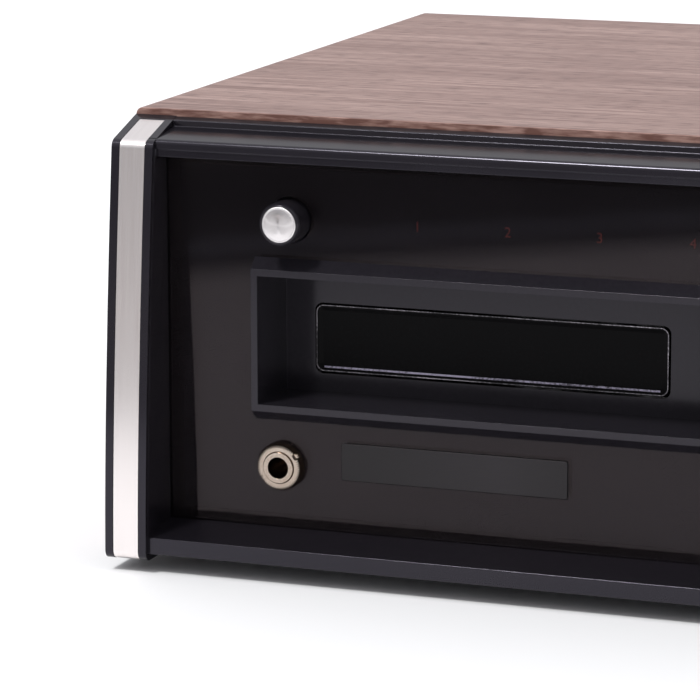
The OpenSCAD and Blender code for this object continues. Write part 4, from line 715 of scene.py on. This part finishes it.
def painted_highlight_finish(name, bright, broken_below, whole_above):
    """A painted highlight where the noise is high, over the black that shows where it is broken."""
    made, tree, shader = new_finish(name, Roughness=0.3)
    place = add(tree, "ShaderNodeTexCoord")
    fine = add(tree, "ShaderNodeTexNoise", {
        "Vector": place.outputs["Object"], "Scale": 1 / (BREAK_FINE * MM), "Detail": 3.0})
    broad = add(tree, "ShaderNodeTexNoise", {
        "Vector": place.outputs["Object"], "Scale": 1 / (BREAK_BROAD * MM), "Detail": 1.0})
    both = add(tree, "ShaderNodeMath", {0: fine.outputs[0], 1: broad.outputs[0]}, operation="ADD")
    highlight_share = add(tree, "ShaderNodeMapRange", {
        "Value": both.outputs[0], "From Min": broken_below, "From Max": whole_above})
    colour = add(tree, "ShaderNodeMix", {
        MIX_FACTOR: highlight_share.outputs[0], MIX_A: linear("2C292F"), MIX_B: linear(bright)},
        data_type="RGBA")
    tree.links.new(colour.outputs[MIX_RESULT], shader.inputs["Base Color"])
    highlight_metal_share = add(tree, "ShaderNodeMath", {
        0: highlight_share.outputs[0], 1: HIGHLIGHT_METAL}, operation="MULTIPLY")
    tree.links.new(highlight_metal_share.outputs[0], shader.inputs["Metallic"])
    return made


# Both finishes are painted highlights: bright colour that stands in for light on the door's edges.
rim_highlight_paint = painted_highlight_finish("painted_rim_highlight", "BDB7BF", 0.88, 1.32)
foot_highlight_paint = painted_highlight_finish("painted_foot_highlight", "CFC8E0", 0.72, 1.08)
print("painted_highlights", rim_highlight_paint.name, foot_highlight_paint.name)

# %% [markdown]
# The thin painted highlight is a band with four sides that follows the flap's outline, a
# tenth of a millimetre inside its edge. The wide one is a sloping bar across the foot.

# %% Painted highlight lines on the door
def outline_ring(bm, inset, width, front, back):
    """A narrow raised band that follows the door's outline."""
    corners = []
    for at in (inset, inset + width):
        for y in (back, front):
            corners.append([bm.verts.new((px * MM, y * MM, pz * MM)) for px, pz in rounded_outline(
                door_low[0] + at, door_low[2] + at, door_high[0] - door_low[0] - 2 * at,
                DOOR_HEIGHT - 2 * at, DOOR_RADIUS - at)])
    outer_back, outer_front, inner_back, inner_front = corners
    for first, second in ((outer_back, outer_front), (outer_front, inner_front),
                          (inner_front, inner_back), (inner_back, outer_back)):
        bridge(bm, first, second)


lines_bm = bmesh.new()
outline_ring(lines_bm, 0.12, 0.28, door_low[1] - 0.04, door_low[1] + 0.1)
placed(to_object(closed(lines_bm), "door_outline_painted_highlight"), rim_highlight_paint, "tape_door", stays=True)
foot = bmesh.new()
FOOT_UP, FOOT_IN = 1.15, 2.6  # mm above the door's foot and in from its ends
foot_z = door_low[2] + FOOT_UP
foot_ends = (door_low[0] + FOOT_IN, door_high[0] - FOOT_IN)
section = [(door_low[1] + 0.1, foot_z), (door_low[1] + 0.06, foot_z + 0.1),
           (door_low[1] + 0.36, foot_z + 0.55), (door_low[1] + 0.5, foot_z + 0.55)]
ends = [[foot.verts.new((x * MM, y * MM, z * MM)) for y, z in section] for x in foot_ends]
bridge(foot, ends[0], ends[1])
foot.faces.new(ends[0])
foot.faces.new(ends[1])
placed(to_object(closed(foot), "door_foot_painted_highlight"), foot_highlight_paint, "tape_door", stays=True)
print("foot painted highlight", round(foot_ends[1] - foot_ends[0], 1), "mm long")

# %% [markdown]
# The headphone socket is held by a round nut with a finely knurled edge and two spanner slots.
# The knurl is real teeth in the outer rings, and the slots are the face's rings pushed back
# at two places.

# %% Knurled nut
nut_low, nut_high = span("headphone_nut")
(nut_x, nut_z), nut_r = centre("headphone_nut"), (nut_high[0] - nut_low[0]) / 2
nut_front, nut_back = nut_low[1], nut_high[1]
NUT_HOLE, TEETH, PER_TOOTH = 4.7, 60, 4  # mm, then counts
SLOT_ANGLE, SLOT_HALF, SLOT_DEEP = 35, 0.75, 1.1  # degrees, then half width and depth in mm
rows = [  # radius, depth of teeth, y, whether a slot may cut it
    (NUT_HOLE, 0, nut_back, 0), (nut_r - 0.5, 0, nut_back, 0),
    (nut_r - 0.2, 0.25, nut_back - 0.3, 0), (nut_r, 0.8, nut_back - 0.6, 0),
    (nut_r, 0.8, nut_front + 1.2, 1), (nut_r - 0.2, 0.9, nut_front + 0.55, 1),
    (nut_r - 0.6, 0.6, nut_front + 0.15, 1), (nut_r - 1.3, 0, nut_front, 1),
    (nut_r - 1.75, 0, nut_front + 0.02, 0), (NUT_HOLE + 0.35, 0, nut_front + 0.02, 0),
    (NUT_HOLE, 0, nut_front + 0.35, 0)]
bm = bmesh.new()
rings = []
for radius, tooth, y, cut in rows:
    ring = []
    for k in range(TEETH * PER_TOOTH):
        a = 2 * math.pi * k / (TEETH * PER_TOOTH)
        r = radius - tooth * (0.5 - 0.5 * math.cos(TEETH * a))
        off = abs(math.sin(a - math.radians(SLOT_ANGLE))) * radius
        back = SLOT_DEEP if cut and off < SLOT_HALF else 0
        ring.append(bm.verts.new((
            (nut_x + r * math.cos(a)) * MM, max(y, nut_front + back) * MM,
            (nut_z + r * math.sin(a)) * MM)))
    rings.append(ring)
for first, second in zip(rings, rings[1:] + rings[:1]):
    bridge(bm, first, second)
nut = to_object(closed(bm, sharp=40), "headphone_nut_knurled")
placed(nut, finishes["nickel"], "headphone_nut")
print("nut radius", nut_r, "teeth", TEETH)

# %% [markdown]
# The channel knob's return spring is wound from music wire and sits between the plunger's collar
# and the switch. It gets shorter as the knob goes in, but this piece is a plain copy of the CAD
# spring, shaded smooth, with a mesh of its own.

# %% Return spring
coil = bpy.data.objects.new("channel_spring_coil", nodes["channel_spring"].data.copy())
for face in coil.data.polygons:
    face.use_smooth = True
placed(coil, finishes["spring_steel"], "channel_spring")
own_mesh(coil)

# %% [markdown]
# Behind the panel lies a black back print. It hides the steel plate, and is left open where the
# dial and its needle show, and round everything that comes through the panel. An outline and
# the outlines of its holes, filled with triangles and made thick, give such a sheet.

# %% Back print
def sheet_with_holes(name, outline, holes, front, back):
    """A thin sheet between two depths, with closed outlines cut out of it."""
    bm = bmesh.new()
    for loop in [outline] + holes:
        ring = [bm.verts.new((x * MM, front * MM, z * MM)) for x, z in loop]
        for a, b in zip(ring, ring[1:] + ring[:1]):
            bm.edges.new((a, b))
    bmesh.ops.triangle_fill(bm, use_beauty=True, use_dissolve=False, edges=bm.edges)
    extruded = bmesh.ops.extrude_face_region(bm, geom=bm.faces[:])
    moved = [v for v in extruded["geom"] if isinstance(v, bmesh.types.BMVert)]
    bmesh.ops.translate(bm, verts=moved, vec=(0, (back - front) * MM, 0))
    return to_object(closed(bm), name)


def rectangle(x0, x1, z0, z1):
    return [(x0, z0), (x1, z0), (x1, z1), (x0, z1)]


def circle(x, z, radius, steps=48):
    turns = [2 * math.pi * k / steps for k in range(steps)]
    return [(x + radius * math.cos(a), z + radius * math.sin(a)) for a in turns]


bezel_low, bezel_high = span("tape_bezel")
dial_low, dial_high = span("dial_plate")
glass_low, glass_high = span("smoked_panel")
panel_back = glass_high[1]
BEVEL, SEAT, AROUND = 3.2, 3.8, 0.1  # mm: the bezel's slope, the panel's seat, a narrow gap
SHAFT_HOLE = 4  # mm
HOLE_RADII = {"channel_knob": 7.1, "headphone_jack": 4.7, "power_button": 6.5}  # mm
HOLE_RADII.update({name: SHAFT_HOLE for name in ("tuning_knob",) + SMALL_KNOBS})
holes = [rectangle(
    bezel_low[0] - AROUND, bezel_high[0] + AROUND,
    bezel_low[2] + BEVEL - AROUND, bezel_high[2] - BEVEL + AROUND)]
holes += [circle(*centre(name), radius) for name, radius in HOLE_RADII.items()]
HIDE_LEFT, HIDE_RIGHT, HIDE_FOOT, HIDE_HEAD = 5, 3, 2, 3  # mm of the dial behind the print
holes += [rectangle(
    dial_low[0] + HIDE_LEFT, dial_high[0] - HIDE_RIGHT,
    dial_low[2] + HIDE_FOOT, dial_high[2] - HIDE_HEAD)]
outline = rectangle(
    glass_low[0] + SEAT, glass_high[0] - SEAT, glass_low[2] + SEAT, glass_high[2] - SEAT)
PRINT_FRONT, PRINT_BACK = 0.08, 0.02  # mm before the panel's back face
mask = sheet_with_holes(
    "panel_back_print", outline, holes, panel_back - PRINT_FRONT, panel_back - PRINT_BACK)
placed(mask, finishes["black_abs"], "smoked_panel", stays=True)
print("back print with", len(holes), "holes")

# %% [markdown]
# Four dark red numerals for the programs are printed in front of the back print. Their lamps are
# off, yet the ink is given a faint painted glow. The numerals are Blender's own plain letters,
# turned into a thin mesh.

# %% Program numerals
FIGURE_THICK = 0.03  # mm


def words(bm, text, x, z, y, size):
    """Adds flat raised figures, centred at a place on a front-facing plane."""
    curve = bpy.data.curves.new("figures", "FONT")
    curve.body, curve.size, curve.extrude = text, size * MM, FIGURE_THICK * MM / 2
    curve.align_x, curve.align_y, curve.resolution_u = "CENTER", "CENTER", 4
    holder = bpy.data.objects.new("figures", curve)
    bpy.context.scene.collection.objects.link(holder)
    bpy.context.view_layer.update()
    graph = bpy.context.evaluated_depsgraph_get()
    mesh = bpy.data.meshes.new_from_object(holder.evaluated_get(graph))
    mesh.transform(Matrix.Rotation(math.pi / 2, 4, "X"))
    mesh.transform(Matrix.Translation((x * MM, y * MM, z * MM)))
    bm.from_mesh(mesh)
    bpy.data.meshes.remove(mesh)
    bpy.data.objects.remove(holder)
    bpy.data.curves.remove(curve)


lamp_low, lamp_high = span("channel_indicator")
NUMERAL_SIZE, NUMERAL_FRONT = 4.4, 0.14  # mm, the second before the panel's back face
figures = bmesh.new()
LAMPS, EAR = 4, 12  # the second in mm, from the indicator's end to its nearest lamp
lamp_pitch = (lamp_high[0] - lamp_low[0] - 2 * EAR) / (LAMPS - 1)
for i in range(LAMPS):
    lamp_at = lamp_low[0] + EAR + i * lamp_pitch
    words(figures, str(i + 1), lamp_at, (lamp_low[2] + lamp_high[2]) / 2,
          panel_back - NUMERAL_FRONT, NUMERAL_SIZE)
# The faint emission is a painted glow: no lamp lights the numerals.
glowing_red_print, tree, shader = new_finish("red_print_painted_glow", Roughness=0.5, Emission_Strength=0.02)
shader.inputs["Base Color"].default_value = linear("93352B")
shader.inputs["Emission Color"].default_value = linear("E0503F")
placed(to_object(figures, "program_numerals"), glowing_red_print, "channel_indicator", stays=True)
print("program numerals", LAMPS, "at a pitch of", round(lamp_pitch, 1), "mm")

# %% [markdown]
# The dial behind the panel has a middle line with ticks on both sides, and plain numbers above
# for one band and below for the other. The ink stands two hundredths of a millimetre proud.

# %% Dial scale
DIAL_LEFT, DIAL_RIGHT, DIAL_STEPS, OVERRUN = 12.0, 188.0, 40, 6  # mm, but for the steps
HALF_LINE, LONG_TICK, SHORT_TICK, NUMBER_SIZE = 0.15, 2.6, 1.4, 5.2  # mm
UPPER_BAND = ("88", "90", "92", "94", "96", "98", "100", "102", "104", "106", "108")
LOWER_BAND = ("54", "60", "65", "70", "80", "90", "100", "120", "140", "150", "160")
dial_face, dial_mid = dial_low[1] - 0.02, (dial_low[2] + dial_high[2]) / 2
ink_front, ink_back = dial_face - 0.02, dial_face + 0.01
scale = bmesh.new()


def inked(x0, x1, z0, z1):
    slab(scale, (x0, ink_front, z0), (x1, ink_back, z1))


inked(DIAL_LEFT - OVERRUN, DIAL_RIGHT + OVERRUN, dial_mid - HALF_LINE, dial_mid + HALF_LINE)
for i in range(DIAL_STEPS + 1):
    x = DIAL_LEFT + i * (DIAL_RIGHT - DIAL_LEFT) / DIAL_STEPS
    tall = LONG_TICK if i % 4 == 0 else SHORT_TICK
    inked(x - HALF_LINE, x + HALF_LINE, dial_mid + HALF_LINE, dial_mid + tall)
    inked(x - HALF_LINE, x + HALF_LINE, dial_mid - tall, dial_mid - HALF_LINE)
for band, height in ((UPPER_BAND, 6), (LOWER_BAND, -6.5)):
    for i, text in enumerate(band):
        x = DIAL_LEFT + i * (DIAL_RIGHT - DIAL_LEFT) / (len(band) - 1)
        words(scale, text, x, dial_mid + height, dial_face, NUMBER_SIZE)
ink, tree, shader = new_finish("pale_green_ink", Roughness=0.6)
shader.inputs["Base Color"].default_value = linear("BFD6C2")
placed(to_object(scale, "dial_scale_figures"), ink, "dial_plate", stays=True)
print("dial numbers", len(UPPER_BAND) + len(LOWER_BAND))

# %% [markdown]
# Everything else keeps its CAD shape. Each node takes the finish of its slot, and its curved
# faces are shaded smooth wherever they meet at less than the steep angle.

# %% Finishes for the other CAD nodes
for name, shown in nodes.items():
    shown.data.materials.clear()
    shown.data.materials.append(finishes[slots[name]])
    for face in shown.data.polygons:
        face.use_smooth = True
    shown.data.set_sharp_from_angle(angle=math.radians(STEEP))
print("CAD finishes", len(nodes))

# %% [markdown]
# The set is a white table below a pale room with a bright ceiling. In front of the object it
# falls off to grey and black for everything but the camera itself, so the panel and the strips
# mirror a dark studio, which is how the real ones were lit, and the picture's ground stays
# white. The fall-off runs a little aslant, as the reflections in the real panel do.

# %% White table
table, tree, shader = new_finish("white_table", Roughness=0.7)
place = add(tree, "ShaderNodeTexCoord")
apart = add(tree, "ShaderNodeSeparateXYZ", {0: place.outputs["Object"]})
SLANT, SHIFT = 0.8, 0.23  # metres of fall-off per metre to the right, and at the middle
BANDS_FAR, BANDS_NEAR = -1.32, -0.62  # metres in front of the object's middle
slanted = add(tree, "ShaderNodeMath", {
    0: apart.outputs[0], 1: SLANT, 2: SHIFT}, operation="MULTIPLY_ADD")
edge_at = add(tree, "ShaderNodeMath", {
    0: apart.outputs[1], 1: slanted.outputs[0]}, operation="ADD")
near = add(tree, "ShaderNodeMapRange", {
    "Value": edge_at.outputs[0], "From Min": BANDS_FAR, "From Max": BANDS_NEAR})
floor_colour = add(tree, "ShaderNodeValToRGB", {0: near.outputs[0]})
bands = floor_colour.color_ramp
BAND_COLOURS = ((0.2, "A39D9B"), (0.45, "2A2C30"), (0.77, "1C1D20"), (0.84, "767D8B"),
                (0.9, "24252A"))
for at, code in BAND_COLOURS:
    bands.elements.new(at).color = linear(code)
bands.elements[0].color = linear("B0AAA8")
bands.elements[-1].color = linear("F8F8F8")
ray = add(tree, "ShaderNodeLightPath")
seen = add(tree, "ShaderNodeMix", {
    MIX_FACTOR: ray.outputs["Is Camera Ray"], MIX_A: floor_colour.outputs[0],
    MIX_B: linear("F8F8F8")}, data_type="RGBA")
tree.links.new(seen.outputs[MIX_RESULT], shader.inputs["Base Color"])
bm = bmesh.new()
FLOOR_HALF = 9  # metres
bmesh.ops.create_grid(bm, x_segments=4, y_segments=4, size=FLOOR_HALF)
floor = to_object(bm, "floor")
floor.data.materials.append(table)
bpy.context.scene.collection.objects.link(floor)
print("table bands", len(bands.elements))

# %% [markdown]
# The room is pale and its ceiling brighter than its walls. The camera sees it as plain white. A
# broad lamp, high in front and to the left, draws the thin lights on the edges and the shadow.

# %% Room and lamp
WALLS, CEILING, LAMP_POWER, LAMP_WIDTH = 0.31, 1.15, 1.7, 10  # strengths, then degrees
world = bpy.data.worlds.new("pale_room")
bpy.context.scene.world = world
world.use_nodes = True
tree = world.node_tree
heading = add(tree, "ShaderNodeTexCoord")
apart = add(tree, "ShaderNodeSeparateXYZ", {0: heading.outputs["Generated"]})
height = add(tree, "ShaderNodeMapRange", {
    "Value": apart.outputs[2], "From Min": 0.0, "From Max": 1.0,
    "To Min": WALLS, "To Max": CEILING})
ray = add(tree, "ShaderNodeLightPath")
backdrop = add(tree, "ShaderNodeMath", {
    0: height.outputs[0], 1: ray.outputs["Is Camera Ray"]}, operation="MAXIMUM")
tree.links.new(backdrop.outputs[0], tree.nodes["Background"].inputs["Strength"])
tree.nodes["Background"].inputs["Color"].default_value = linear("FBFBFF")

lamp_data = bpy.data.lights.new("broad_lamp", "SUN")
lamp_data.energy = LAMP_POWER
lamp_data.angle = math.radians(LAMP_WIDTH)
lamp = bpy.data.objects.new("broad_lamp", lamp_data)
lamp.rotation_euler = Vector((0.35, 0.6, -1.2)).to_track_quat("-Z", "Y").to_euler()
bpy.context.scene.collection.objects.link(lamp)
bpy.context.scene.view_settings.view_transform = "Standard"
print("lamp", lamp_data.energy, "width", LAMP_WIDTH, "degrees")
